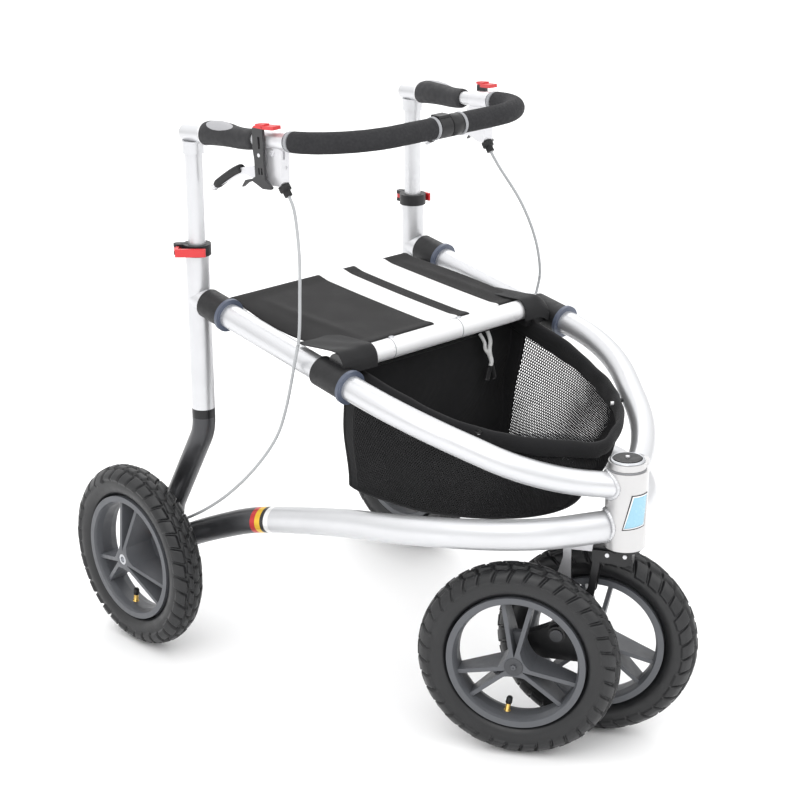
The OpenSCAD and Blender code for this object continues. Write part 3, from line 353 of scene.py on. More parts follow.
def frames(points):
    """Along, across and up at each point of a line, without sudden twist."""
    p = [Vector(q) for q in points]
    out, up = [], None
    for i, q in enumerate(p):
        d = (p[min(i + 1, len(p) - 1)] - p[max(i - 1, 0)]).normalized()
        if up is None:
            up = Vector((0, 0, 1)) if abs(d.z) < 0.9 else Vector((1, 0, 0))
        side = d.cross(up).normalized()
        up = side.cross(d).normalized()
        out.append((q, d, side, up))
    return out


def tube(name, points, radius, material, body=None, sides=16, flat=1.0):
    """A tube along points; radius is a number or a list, and flat its height over its width."""
    f = frames(points)
    rs = radius if hasattr(radius, "__len__") else [radius] * len(f)
    verts = []
    for (q, _, side, up), r in zip(f, rs):
        for k in range(sides):
            a = 2 * math.pi * k / sides
            verts.append(q + side * (r * math.cos(a)) + up * (r * flat * math.sin(a)))
    faces = grid_faces(len(f), sides, loop_v=True)
    faces += [tuple(range(sides)), tuple(range(len(verts) - 1, len(verts) - sides - 1, -1))]
    return made(name, verts, faces, material, body)


def curve_through(points, steps=8):
    p = [Vector(q) for q in points]
    out = []
    for i in range(len(p) - 1):
        a, b, c, d = p[max(i - 1, 0)], p[i], p[i + 1], p[min(i + 2, len(p) - 1)]
        for k in range(steps):
            t = k / steps
            out.append(b + (c - a) * (t / 2) + (2 * a - 5 * b + 4 * c - d) * (t * t / 2)
                       + (3 * b - a - 3 * c + d) * (t ** 3 / 2))
    return out + [p[-1]]


def turned(name, profile, origin, axis, material, body=None, sides=48, lobes=0, depth=0.0):
    """A turned piece: profile is (along the axis, radius) in millimetres, with a knurl of that many lobes."""
    axis = Vector(axis).normalized()
    side = axis.orthogonal().normalized()
    other = axis.cross(side)
    verts = []
    for k in range(sides):
        a = 2 * math.pi * k / sides
        out = side * math.cos(a) + other * math.sin(a)
        knurl = 1 + depth * math.cos(a * lobes) if lobes else 1
        verts += [Vector(origin) + axis * (h / 1000) + out * (r * knurl / 1000) for h, r in profile]
    return made(name, verts, grid_faces(sides, len(profile), loop_u=True), material, body)


def edged(o, angle=35):
    """Sharp edges where faces meet at more than the angle."""
    m = o.modifiers.new("edges", "EDGE_SPLIT")
    m.split_angle = math.radians(angle)
    return o


def thick(o, t, offset=-1.0, smooth=1):
    """Cloth thickness in millimetres, then smoothing."""
    m = o.modifiers.new("thickness", "SOLIDIFY")
    m.thickness = t / 1000
    m.offset = offset
    if smooth:
        o.modifiers.new("smooth", "SUBSURF").levels = smooth
        o.modifiers["smooth"].render_levels = smooth
    return o


def raised(p, z):
    return p + Vector((0, 0, z))


# Cables

CABLE = [(225, 219, 790), (256, 238, 735), (274, 254, 676), (280, 262, 620), (271, 264, 577), (245, 264, 490),
         (216, 264, 433), (160, 264, 368), (95, 264, 309), (29, 264, 261), (-34.3, 263.9, 223.3)]
CABLE_START = (208.75, 215.76, 813.11)
CABLE_STEPS, CABLE_CUT, CABLE_R = 6, 26, 0.0025


def cables():
    for s, name in SIDES:
        line = curve_through([P(x, s * y, z) for x, y, z in [CABLE_START] + CABLE], CABLE_STEPS)
        upper, lower = line[:CABLE_CUT + 1], line[CABLE_CUT:]
        for part, pts, a, b in (("upper", upper, name + "_handle", name + "_post_body"),
                                ("lower", lower, name + "_post_body", name + "_frame")):
            o = tube(f"{name}_cable_{part}", pts, CABLE_R, cable_skin, sides=10)
            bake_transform(o)
            if part == "upper":
                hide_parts(name + "_cable")


cables()

# Lower tubes

LOW_SHARES = [(0, 1, 0), (0.065, 1, 0.144), (0.17, 1, 0.335), (0.282, 1, 0.512), (0.431, 1, 0.679),
              (0.568, 1, 0.814), (0.692, 0.96, 0.902), (0.835, 0.75, 0.963), (0.928, 0.49, 0.991),
              (0.972, 0.18, 0.988), (0.988, 0.025, 0.982)]
LOW_REACH = (805, 235, 215)
LOW_REAR, LOW_FRONT, LOW_WIDE = 39, 50, 37
LOW_SIDES = 48
HINGE_FACE = 0.04405


def lower_tubes():
    """The long lower tubes, oval and deepening to the front; the left one ends flat at the hinge barrel."""
    for s, name in SIDES:
        points = [P(a * LOW_REACH[0] + AXLE_X, s * b * LOW_REACH[1], c * LOW_REACH[2] + WHEEL_R)
                  for a, b, c in LOW_SHARES]
        line = curve_through(points, 8)
        n = len(line) - 1
        wide = LOW_WIDE / 2000
        verts = []
        for i, (q, _, side, up) in enumerate(frames(line)):
            tall = (LOW_REAR + (LOW_FRONT - LOW_REAR) * i / n) / 2000
            verts += [q + side * (wide * math.cos(a)) + up * (tall * math.sin(a))
                      for a in np.linspace(0, 2 * math.pi, LOW_SIDES + 1)[:-1]]
        o = made(name + "_lower_oval", verts, grid_faces(n + 1, LOW_SIDES, loop_v=True), low_paint)
        bm = bmesh.new()
        bm.from_mesh(o.data)
        if s > 0:
            geom = bm.verts[:] + bm.edges[:] + bm.faces[:]
            bmesh.ops.bisect_plane(bm, geom=geom, plane_co=(0, HINGE_FACE, 0), plane_no=(0, -1, 0),
                                   clear_outer=True)
        bmesh.ops.holes_fill(bm, edges=[e for e in bm.edges if e.is_boundary], sides=0)
        bm.to_mesh(o.data)
        bm.free()
        o.data.polygons.foreach_set("use_smooth", [len(f.vertices) < 5 for f in o.data.polygons])
        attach(o, name + "_frame")
        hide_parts(name + "_lower_tube")


lower_tubes()

# Wheels

FRONT_AXIS = Vector((-0.5299193, 0.8480481, 0))
WHEELS = [("right_rear", P(AXLE_X, -HUB_Y, WHEEL_R), Vector((0, -1, 0))),
          ("left_rear", P(AXLE_X, HUB_Y, WHEEL_R), Vector((0, 1, 0))),
          ("right_front", Vector((0.3463223, -0.1212545, 0.156)), -FRONT_AXIS),
          ("left_front", Vector((0.3793014, 0.0184501, 0.156)), FRONT_AXIS)]
PITCHES, PER_PITCH = 18, 52
TYRE_RING, KNOB = 127.5, 5.0
# Turned profiles in millimetres: along the axis, radius
VALVE = [(-1, 5.8), (0, 5.8), (1.8, 5.4), (2, 4), (12, 3.9), (12.3, 3.3), (15, 3.3)]
VALVE_CAP = [(13.6, 0.5), (13.6, 4.3), (14.2, 4.8), (23, 4.6), (25, 3.6), (25.6, 0.2)]
HUB_CAP = [(-1, 14.6), (0.6, 14.6), (1.5, 14), (1.8, 12.6), (1.4, 11.8), (1.4, 6.5), (1.2, 6), (1.2, 0.1)]
HUB_BOLT = [(0.8, 4.2), (3.4, 4.2), (3.9, 3.7), (3.9, 2.1), (2.4, 1.9), (2.4, 0.1)]
DRUM_RING = [(-0.6, 36.5), (0.7, 36.7), (1.0, 38), (0.7, 39.3), (-0.6, 39.5)]
VALVE_FOOT, HUB_FACE, DRUM_FACE = 0.094, 0.034, 0.0205


def ramp(x, low, high, soft):
    """1 between low and high, falling to 0 over soft at each end."""
    return np.clip((x - low) / soft + 0.5, 0, 1) * np.clip((high - x) / soft + 0.5, 0, 1)


def tyre_mesh():
    """A knobbly tyre about the Y axis: chevron blocks on the crown, long and short lugs on the shoulders."""
    turn = np.arange(PITCHES * PER_PITCH) / PER_PITCH
    tread = np.linspace(-78, 78, 53)
    wall = np.linspace(82, 149, 14)
    angle = np.concatenate([-wall[::-1], tread, wall])
    u, a = np.meshgrid(turn, angle, indexing="ij")
    k = np.abs(a)
    s = np.where(a >= 0, 1.0, -1.0)
    t = (2 * u + 0.25 * s + 0.011 * k) % 1
    zig = 2 + 4 * np.abs(t - 0.5)
    centre = ramp(t, 0.08, 0.86, 0.05) * ramp(k, zig, 22 + 6 * (t - 0.5), 3)
    shoulder = u + 0.25 * s + 0.21 + 0.004 * k
    t2 = shoulder % 1
    even = np.floor(shoulder) % 2
    lug = ramp(t2, 0.03, 0.44, 0.035) * ramp(k, 28, np.where(even > 0, 80, 74), 3)
    small = ramp(t2, 0.53, 0.94, 0.035) * ramp(k, 33, np.where(even > 0, 72, 78), 3)
    height = np.maximum(np.maximum(centre, lug), small * 0.9)
    rad = np.radians(a)
    carcass = 23.4 + 2.3 * np.sin(np.clip(np.abs(rad), 0, np.pi / 2)) ** 4
    ribs = 0.5 * (ramp(k, 98, 101, 2) + ramp(k, 128, 131, 2))
    r = carcass + KNOB * height * (1 - 0.3 * np.clip((k - 55) / 25, 0, 1)) + ribs
    r = np.where(k > 120, r * (1 - 0.0022 * (k - 120)), r)
    ring = (TYRE_RING + r * np.cos(rad)) / 1000
    wide = r * np.sin(rad) / 1000
    theta = u / PITCHES * 2 * np.pi
    verts = np.stack([ring * np.cos(theta), wide, ring * np.sin(theta)], -1).reshape(-1, 3)
    return verts, grid_faces(PITCHES * PER_PITCH, len(angle), loop_u=True, loop_v=True)


def wheels():
    verts, faces = tyre_mesh()
    shared = None
    for name, centre, out in WHEELS:
        body = name + "_wheel"
        turn = Vector((0, 1, 0)).rotation_difference(out).to_matrix().to_4x4()
        if shared is None:
            o = made(name + "_tread", verts, faces, tyre_rubber)
            shared = o.data
        else:
            o = bpy.data.objects.new(name + "_tread", shared)
            scene.collection.objects.link(o)
        o.matrix_world = Matrix.Translation(centre) @ turn
        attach(o, body)
        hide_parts(name + "_tyre")
        side = out.cross(Vector((0, 0, 1)))
        down = (Vector((0, 0, -1)) * 0.985 + side * 0.17).normalized()
        foot = centre + down * VALVE_FOOT
        turned(name + "_valve", VALVE, foot, -down, brass, body, sides=24)
        turned(name + "_valve_cap", VALVE_CAP, foot, -down, black_plastic, body, sides=32, lobes=8,
               depth=0.05)
        face = centre + out * HUB_FACE
        if "front" in name:
            turned(name + "_hub_cap", HUB_CAP, face, out, hub_grey, body, sides=64)
            edged(turned(name + "_hub_bolt", HUB_BOLT, face, out, rim_grey, body, sides=6))
        else:
            drum = centre - out * DRUM_FACE
            turned(name + "_drum_ring", DRUM_RING, drum, out, orange_paint, body, sides=96)


wheels()

# Seat

SEAT_RIGHT, SEAT_LEFT = -205.0, 176.0
REAR_BAR, FRONT_BAR = (47.7, 601.0, 12.0), (332.5, 581.8, 16.0)
CLOTH_OFF = 1.9
SETTLE_FRAMES, SETTLE_CAP = 24, 0.003


def settle(o, pinned, cap):
    """Lets a pinned sheet hang under its own weight, and keeps each point within cap of where it began."""
    rest = np.array([v.co for v in o.data.vertices])
    group = o.vertex_groups.new(name="pinned")
    group.add([int(i) for i in pinned], 1.0, "REPLACE")
    cloth = o.modifiers.new("cloth", "CLOTH")
    c = cloth.settings
    c.quality = 6
    c.mass = 0.2
    c.tension_stiffness = c.compression_stiffness = 25
    c.shear_stiffness = 10
    c.bending_stiffness = 1.5
    c.vertex_group_mass = "pinned"
    for i in range(1, SETTLE_FRAMES + 1):
        scene.frame_set(i)
    dg = bpy.context.evaluated_depsgraph_get()
    e = o.evaluated_get(dg).to_mesh()
    now = np.array([v.co for v in e.vertices])
    o.modifiers.remove(cloth)
    scene.frame_set(1)
    move = now - rest
    far = np.linalg.norm(move, axis=1, keepdims=True)
    move *= np.minimum(1, cap / np.maximum(far, 1e-9))
    o.data.vertices.foreach_set("co", (rest + move).astype(np.float32).ravel())
    o.data.update()


def round_bar(bar, start, end, count):
    """Points in x and z on an arc round a bar, marked with -1 as held by it."""
    x, z, r = bar
    r += CLOTH_OFF
    turns = [math.radians(a) for a in np.linspace(start, end, count)]
    return [(x + r * math.cos(a), z + r * math.sin(a), -1.0) for a in turns]


def seat_section():
    """The cloth's path in x and z: round the rear bar, over to the front bar and down behind it."""
    rear, front = round_bar(REAR_BAR, 255, 86, 16), round_bar(FRONT_BAR, 128, 236, 10)
    (x0, z0, _), (x1, z1, _) = rear[-1], front[0]
    span = [(x0 + (x1 - x0) * t, z0 + (z1 - z0) * t, t) for t in np.linspace(0, 1, 44)[1:-1]]
    return rear + span + front


def seat():
    path = seat_section()
    across = np.linspace(SEAT_RIGHT, SEAT_LEFT, 76)
    verts, pinned = [], []
    for x, z, t in path:
        for y in across:
            if t < 0:
                pinned.append(len(verts))
                verts.append(P(x, y, z))
                continue
            bow = math.sin(math.pi * t)
            near, far = y - SEAT_RIGHT, SEAT_LEFT - y
            pull = bow * (4 * math.exp(-far / 45) - 1.5 * math.exp(-near / 45))
            droop = 14 * bow * math.exp(-near / 17) - 3 * bow * math.exp(-far / 30)
            fold = 2.6 * bow * math.exp(-((near - 40 - 14 * t) / 9) ** 2)
            fold += 1.8 * bow * math.exp(-((far - 34 + 9 * t) / 8) ** 2)
            crease = 0.7 * bow * math.sin(y / 17 + 5 * t) * math.exp(-near / 160)
            verts.append(P(x, y + pull, z - 1.5 * bow - droop + fold + crease))
    o = made("seat_cloth_sheet", verts, grid_faces(len(path), len(across)), seat_cloth)
    settle(o, pinned, SETTLE_CAP)
    n = len(across)
    flat = [v.co.copy() for v in o.data.vertices]
    for name, cols in (("right", (0, 1, 2)), ("left", (n - 1, n - 2, n - 3))):
        rows = range(2, len(path) - 2)
        strip = [flat[i * n + c] + Vector((0, 0, 0.0008)) for i in rows for c in cols]
        hem = made(f"seat_hem_{name}", strip, grid_faces(len(rows), 3), strap_black)
        thick(hem, 2.6, 0.0, 1)
        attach(hem, "seat_frame")
    thick(o, 2.2, -1.0, 1)
    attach(o, "seat_frame")
    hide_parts("seat")
    x, z, r = FRONT_BAR
    for i, y in enumerate((-127, 17)):
        seam = [(-0.7, r + 0.05), (-0.5, r + 0.4), (0.5, r + 0.4), (0.7, r + 0.05)]
        turned(f"front_bar_seam_{i}", seam, P(x, y, z), (0, 1, 0), grey_plastic, "seat_frame", sides=64)
        head = [(-0.6, 4.6), (0.8, 4.5), (2.0, 3.6), (2.4, 2.2), (1.4, 2.0), (1.4, 0.1)]
        top = P(x - 3, y + 7, z + r - 0.5)
        turned(f"front_bar_screw_{i}", head, top, (-0.18, 0, 1), steel, "seat_frame", sides=32)


seat()

# Basket

RIM = [(290, 186, 566), (408, 182, 540), (485, 167, 521), (550, 141, 508), (600, 105, 500), (640, 56, 492),
       (658, 0, 482)]
FLOOR = [(284, 167, 349), (354, 164, 350), (424, 155, 351), (482, 133, 353), (532, 98, 354), (568, 52, 355),
         (582, 0, 356)]
FINE = 12
RIM_LINE = curve_through(RIM + [(640, -56, 492)], FINE)[:-FINE]
FLOOR_LINE = curve_through(FLOOR + [(568, -52, 355)], FINE)[:-FINE]
LAST = len(RIM_LINE) - 1
PIPING_R = 0.0026


def edge_wave(v):
    return 4.5 * math.sin(7.5 * v + 0.4) * math.sin(math.pi * v)


def wall(s, u, v):
    """A point of a side wall: u from the rear corner to the front tip, v from the rim to the floor."""
    i = min(int(u * LAST), LAST - 1)
    f = u * LAST - i
    top = RIM_LINE[i].lerp(RIM_LINE[i + 1], f)
    low = FLOOR_LINE[i].lerp(FLOOR_LINE[i + 1], f)
    p = top.lerp(low, v)
    out = Vector((p.x - 400, p.y * 1.3, 0)).normalized() if p.length else Vector((1, 0, 0))
    ease = min(1, u * 7)
    belly = 9 * math.sin(math.pi * min(1, v * 1.05) ** 0.8) * ease
    folds = 2.6 * math.sin(u * 21 + v * 3 + s) * v * (1 - v) * 4 * ease
    folds += 3.2 * math.exp(-((u - 0.72 - 0.16 * v) / 0.05) ** 2) * math.sin(math.pi * v)
    p = p + out * (belly + folds)
    lift = 5 * max(0, 1 - u * 9) ** 2 * max(0, v - 0.8) / 0.2
    return P(p.x + edge_wave(v) * (1 - ease), s * p.y, p.z + lift)


def back_wall(w, v):
    """A point of the back panel: w from the right corner to the left one."""
    y = (w * 2 - 1)
    half = RIM[0][1] * (1 - v) + FLOOR[0][1] * v
    z = RIM[0][2] * (1 - v) + FLOOR[0][2] * v - 5 * (1 - y * y) * (1 - v)
    x = RIM[0][0] * (1 - v) + FLOOR[0][0] * v + edge_wave(v) * y ** 4
    x += (6 + 1.6 * math.sin(y * 9 + v * 7)) * math.sin(math.pi * v) * (1 - y ** 4)
    lift = 5 * y ** 8 * max(0, v - 0.8) / 0.2
    return P(x, y * half, z + lift)


def hex_net(name, s, pitch=4.3, thread=0.00118):
    """A net of six-sided holes over one side wall."""
    us = np.linspace(0.05, 1, 200)
    mid = [wall(s, u, 0.5) for u in us]
    run = np.concatenate([[0], np.cumsum([(mid[i + 1] - mid[i]).length * 1000 for i in range(199)])])
    length, tall = float(run[-1]), 150.0
    edge = pitch / math.sqrt(3)
    cells_u, cells_v = int(length / pitch), int(tall / (edge * 1.5))
    index, verts, edges = {}, [], set()

    def corner(x, z):
        key = (round(x * 20), round(z * 20))
        if key not in index:
            index[key] = len(verts)
            verts.append(wall(s, float(np.interp(x, run, us)), 0.1 + 0.9 * min(max(z / tall, 0), 1)))
        return index[key]

    for j in range(cells_v + 1):
        for i in range(cells_u + 1):
            cx, cz = (i + 0.5 * (j % 2)) * pitch, j * edge * 1.5
            turns = [math.radians(60 * k) for k in range(6)]
            ring = [corner(cx + edge * math.sin(a), cz + edge * math.cos(a)) for a in turns]
            for k in range(6):
                if ring[k] != ring[k - 1]:
                    edges.add((min(ring[k], ring[k - 1]), max(ring[k], ring[k - 1])))
    pts, faces = [], []
    for a, b in sorted(edges):
        p, q = verts[a], verts[b]
        d = (q - p)
        if d.length < 1e-5:
            continue
        d.normalize()
        n = d.orthogonal().normalized()
        m = d.cross(n)
        base = len(pts)
        for end in (p - d * thread * 0.5, q + d * thread * 0.5):
            inner = end - n * thread * 0.5
            wide = m * thread * 0.87
            pts += [end + n * thread, inner + wide, inner - wide]
        faces += [(base + k, base + (k + 1) % 3, base + 3 + (k + 1) % 3, base + 3 + k) for k in range(3)]
    return made(name, pts, faces, net_black)


def cloth_grid(point, nu, nv):
    return [point(i / (nu - 1), j / (nv - 1)) for i in range(nu) for j in range(nv)], grid_faces(nu, nv)


def merged(name, grids, material):
    """One sheet from grids that meet along their edges."""
    verts, faces = [], []
    for pts, quads in grids:
        faces += [tuple(i + len(verts) for i in q) for q in quads]
        verts += pts
    o = made(name, verts, faces, material)
    bm = bmesh.new()
    bm.from_mesh(o.data)
    bmesh.ops.remove_doubles(bm, verts=bm.verts, dist=0.0006)
    bmesh.ops.recalc_face_normals(bm, faces=bm.faces)
    bm.to_mesh(o.data)
    bm.free()
    o.data.polygons.foreach_set("use_smooth", [True] * len(o.data.polygons))
    return o


def with_basket(o):
    """A basket piece: its transform is baked into its mesh, and it stays where it is."""
    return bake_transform(o)


def rim_point(w):
    """A point on the rim and the way down its wall: w from 0, rear right, round the front to 1, rear left."""
    s, u = (-1, w * 2) if w < 0.5 else (1, 2 - w * 2)
    a, b = wall(s, u, 0.0), wall(s, u, 0.16)
    return a, (b - a).normalized()


def basket():
    def floor(w, t):
        right, left = wall(-1, w, 1.0), wall(1, w, 1.0)
        p = right.lerp(left, t)
        p.z -= 0.006 * math.sin(math.pi * t) * min(1, w * 6) * (1 - w)
        return p

    grids = [cloth_grid(back_wall, 60, 40), cloth_grid(floor, 60, 40)]
    for s in (-1, 1):
        grids.append(cloth_grid(lambda a, b: wall(s, a * 0.06, b), 6, 40))
        grids.append(cloth_grid(lambda a, b: wall(s, a, b * 0.12), 70, 8))
    body = merged("basket_cloth", grids, cloth_black)
    thick(body, 1.6, 0.0, 1)
    extra = []
    for s, side in SIDES:
        extra.append(hex_net(f"basket_net_{side}", s))
        edge = [wall(s, u, 1.0) for u in np.linspace(0, 1, 60)]
        post = [wall(s, 0.0, v) for v in np.linspace(0.03, 1, 40)]
        line = [wall(s, 0.052, v) for v in np.linspace(0.12, 1, 40)]
        for part, pts, radius, sides in (("piping", edge, PIPING_R, 10), ("corner", post, 0.0028, 10),
                                         ("seam", line, 0.0016, 8)):
            extra.append(tube(f"basket_{part}_{side}", pts, radius, strap_black, sides=sides))
    extra.append(tube("basket_piping_rear", [back_wall(w, 1.0) for w in np.linspace(0, 1, 40)], PIPING_R,
                      strap_black, sides=10))
    extra.append(rim_band())
    extra += pocket()
    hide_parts("basket")
    for o in [body] + extra:
        with_basket(o)
    clips()


def rim_band():
    """The folded cloth edge: a soft roll over the rim wire with two skirts."""
    verts = []
    n = 120
    for i in range(n + 1):
        w = i / n
        p, down = rim_point(w)
        ahead, behind = rim_point(min(1, w + 0.004))[0], rim_point(max(0, w - 0.004))[0]
        along = (ahead - behind).normalized()
        out = down.cross(along).normalized()
        wave = 0.0009 * math.sin(w * 43) + 0.0007 * math.sin(w * 97 + 1)
        long_in, long_out = 0.029 + 2 * wave, 0.021 - wave
        section = [(0.0022, long_out), (0.0036, 0.015), (0.0046, 0.008), (0.0042, 0.001), (0.0022, -0.0036),
                   (-0.0006, -0.0046), (-0.0034, -0.0032), (-0.0050, 0.002), (-0.0048, 0.010),
                   (-0.0036, 0.019), (-0.0024, long_in)]
        verts += [p + out * (a + wave) + down * b for a, b in section]
    o = made("basket_rim_band", verts, grid_faces(n + 1, len(section)), cloth_black)
    return thick(o, 1.5, -1.0, 1)


def pocket():
    """The zip along the back panel's top, with its two white pull cords."""
    out = []
    line = [back_wall(w, 0.09) + Vector((0.0016, 0, 0)) for w in np.linspace(0.05, 0.95, 60)]
    out.append(tube("basket_zip", line, 0.0018, strap_black, sides=8, flat=1.4))
    line = [back_wall(w, 0.02) + Vector((0.0014, 0, 0)) for w in np.linspace(0.01, 0.99, 60)]
    out.append(tube("basket_back_band", line, 0.0046, cloth_black, sides=12, flat=1.0))
    for i, (a, b) in enumerate(((103, 113), (121, 116))):
        pts = [P(298, a, 546), P(306, a + (b - a) * 0.3, 533), P(308, (a + b) / 2 - 2, 522), P(309, b, 512),
               P(310, b + 5 - 2 * i, 498), P(310, b + 6 - 6 * i, 489)]
        out.append(tube(f"zip_cord_{i}", curve_through(pts, 5), 0.0037, cord_white, sides=12, flat=0.7))
        end = [P(310, b + 6 - 6 * i, 491), P(310.5, b + 6 - 14 * i + 6 * (1 - i), 468)]
        out.append(tube(f"zip_end_{i}", curve_through(end, 6), 0.005, black_plastic, sides=12, flat=0.6))
    return out


def clips():
    """Short white hooks that hang the rim on the frame tubes."""
    for name, s, u, body in (("right", -1, 0.49, "right_frame"), ("left", 1, 0.62, "left_frame")):
        p = wall(s, u, 0.03)
        q = wall(s, u + 0.01, 0.03)
        out = Vector((0, 0, -1)).cross((q - p).normalized()) * s
        pts = [raised(p - out * 0.004, 0.004), raised(p + out * 0.004, 0.001), p + out * 0.013]
        tube(f"rim_clip_{name}", curve_through(pts, 6), 0.0032, white_paint, body, sides=14)
        hook = [raised(p - out * 0.006, 0.0055), raised(p + out * 0.002, 0.005)]
        tube(f"rim_hook_{name}", hook, 0.005, black_plastic, body, sides=14, flat=0.6)


basket()

# Straps

def straps():
    """Black webbing over the ends of the front bar, from the seat to the basket."""
    x, z, r = FRONT_BAR
    path = [(x - 84, z + 13), (x - 60, z + 15), (x - 36, z + 17), (x - 18, z + r + 2.2), (x - 5, z + r + 3.4),
            (x + 8, z + r + 2.2), (x + 17, z + 8.5), (x + 19.6, z - 2), (x + 19, z - 14)]
    line = curve_through([(a, 0, b) for a, b in path], 6)
    rows, tube_r = 13, 25.6
    for s, side in SIDES:
        low, high = (168, 239) if s < 0 else (152, 208)
        verts = []
        for i, p in enumerate(line):
            for k in range(rows):
                share = k / (rows - 1)
                out = low + (high - low) * share
                drop = 0 if s < 0 else 11 * max(0, share - 0.66) ** 1.5 / 0.34 ** 1.5
                wave = 0.5 * math.sin(k * 0.9 + i * 0.2)
                round_tube = tube_r ** 2 - (out - HALF_GAP) ** 2
                lowest = 613 - 0.167 * p.x + math.sqrt(round_tube) if round_tube > 0 else 0
                verts.append(P(p.x, s * out, max(p.z - drop + wave, lowest)))
        o = made(f"bar_strap_{side}", verts, grid_faces(len(line), rows), strap_black)
        thick(o, 1.8, 0.0, 1)
        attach(o, "seat_frame")


straps()

# Handle

def bar_frame(s):
    start = P(-22.5, s * HALF_GAP, 878)
    along = Vector((0.993147, -s * 0.082643, 0.082643))
    across = Vector((0.082927, s * 0.996556, 0))
    up = Vector((-0.082358, s * 0.006853, 0.99658))
    return start, along, across, up


def at_bar(s, t, side=0.0, up=0.0):
    """A point t millimetres along the bar from its rear end, then across and up from its axis."""
    start, a, c, u = bar_frame(s)
    return start + (a * t + c * side + u * up) / 1000


GRIP = [(48.4, 14, 14, 14), (49.2, 16.5, 16, 16.5), (54, 20, 16.2, 18.4), (62, 22.2, 15.8, 19.6),
        (76, 23, 15.5, 20.2), (92, 22.4, 15.5, 20), (107, 20.2, 16, 19), (120, 17.2, 17, 17.6),
        (132, 15.5, 17.8, 16.6), (147, 15, 17.8, 16.1), (157, 15.2, 17, 16), (161.4, 14.4, 15, 14.8),
        (163, 12, 12, 12)]
GRIP_SIDES = 48


def grip_point(s, t, angle, more=0.0):
    """A point of the grip's skin; angle 0 is on top."""
    ts = [g[0] for g in GRIP]
    above, below, side = (np.interp(t, ts, [g[k] for g in GRIP]) for k in (1, 2, 3))
    high = above if math.cos(angle) > 0 else below
    return at_bar(s, t, (side + more) * math.sin(angle), (high + more) * math.cos(angle))


def handle():
    for s, name in SIDES:
        body = name + "_handle"
        ts = np.concatenate([np.linspace(48.4, 54, 6), np.linspace(56, 157, 52), np.linspace(158, 163, 6)])
        turns = [2 * math.pi * k / GRIP_SIDES for k in range(GRIP_SIDES + 1)]
        verts = [grip_point(s, t, a) for t in ts for a in turns[:-1]]
        faces = grid_faces(len(ts), GRIP_SIDES, loop_v=True)
        faces += [tuple(range(GRIP_SIDES)),
                  tuple(range(len(verts) - 1, len(verts) - GRIP_SIDES - 1, -1))]
        o = made(name + "_grip_skin", verts, faces, grip_rubber, body)
        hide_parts(name + "_grip")
        rings, pts = 9, []
        for i in range(rings):
            r = i / (rings - 1)
            lift = 0.9 * (1 - r ** 6) - 0.25 * r ** 6
            for a in turns[:-1]:
                pts.append(grip_point(s, 93 + 29 * r * math.cos(a), 0.42 + 0.62 * r * math.sin(a), lift))
        made(name + "_grip_inlay", pts, grid_faces(rings, GRIP_SIDES, loop_v=True), inlay_grey, body)
        line = [grip_point(s, 53.2, a, 0.25) for a in turns]
        tube(name + "_grip_line", line, 0.0009, white_paint, body, sides=8)
        foam(s, name, body)
        brake(s, name, body)


def foam(s, name, body):
    """The foam sleeve round the bend, with a grey ring at its end."""
    along = bar_frame(s)[1]
    corner = P(HANDLE_X, s * 206, HANDLE_Z)
    out = Vector((0, -s, 0))
    bend = 0.112
    half = math.acos(along.dot(out)) / 2
    reach = bend * math.tan(half)
    a, b = corner - along * reach, corner + out * reach
    centre = corner + (out - along).normalized() * (bend / math.cos(half))
    line = [at_bar(s, t) for t in (244.3, 244.8, 246)]
    n = 40
    arm = a - centre
    axis = along.cross(out).normalized()
    line += [centre + Matrix.Rotation(2 * half * k / n, 3, axis) @ arm for k in range(n + 1)]
    end = P(HANDLE_X, s * 24.2, HANDLE_Z)
    line += [b.lerp(end, k / 24) for k in range(1, 25)]
    line.append(end)
    line = [p for i, p in enumerate(line) if i == 0 or (p - line[i - 1]).length > 2e-4]
    rs = []
    for i, p in enumerate(line):
        edge = min(i, len(line) - 1 - i)
        rs.append(0.0165 - 0.0022 * max(0, 1 - edge / 2) + 0.0003 * noise.noise(p * 45))
    o = tube(name + "_foam_skin", line, rs, foam_skin, body, sides=40)
    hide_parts(name + "_foam")
    ring = [(0, 12), (0.3, 15.4), (1, 16.1), (5.6, 16.1), (6.4, 15.4), (6.8, 12)]
    turned(name + "_bar_ring", ring, at_bar(s, 236.6), along, grey_plastic, body, sides=64)
    ring = [(-0.4, 16.6), (0.2, 17.6), (1, 18.1), (4, 18.1), (4.8, 17.6), (5.2, 16.6)]
    turned(name + "_joint_ring", ring, end - out * 0.0062, out, grey_plastic, body, sides=64)
    if s > 0:
        sleeve = [(0, 11.5), (0, 16.6), (0.8, 17.4), (21.8, 17.4), (22.6, 16.6), (22.8, 11.5)]
        turned("left_joint_sleeve", sleeve, end, out, black_plastic, body, sides=64)


def at_clamp(s, x, z, side=0.0):
    return at_bar(s, 213.36 + x, side, z)


def brake(s, name, body):
    """The knurled cable adjuster and the rubber sleeve on the lever's blade."""
    _, along, _, up = bar_frame(s)
    turn = math.radians(32)
    axis = up * math.cos(turn) - along * math.sin(turn)
    foot = at_clamp(s, 12, -83)
    profile = [(-0.6, 3), (-0.6, 5.4), (0, 6.1), (8.3, 6.1), (8.6, 8.4), (9.2, 9.1), (17.6, 9.1),
               (18.3, 8.4), (18.5, 6)]
    turned(name + "_adjuster", profile, foot, axis, black_plastic, body, sides=96, lobes=24, depth=0.035)
    blade = ((-86, -47.4), (-96, -50.6), (-112, -58), (-132, -68.8), (-147, -77.6))
    line = curve_through([at_clamp(s, x, z) for x, z in blade], 6)
    rs = [0.0076 - 0.0012 * max(0, 1 - min(i, len(line) - 1 - i) / 2) for i in range(len(line))]
    tube(name + "_lever_sleeve", line, rs, black_plastic, name + "_brake", sides=24, flat=0.95)


handle()

# Head

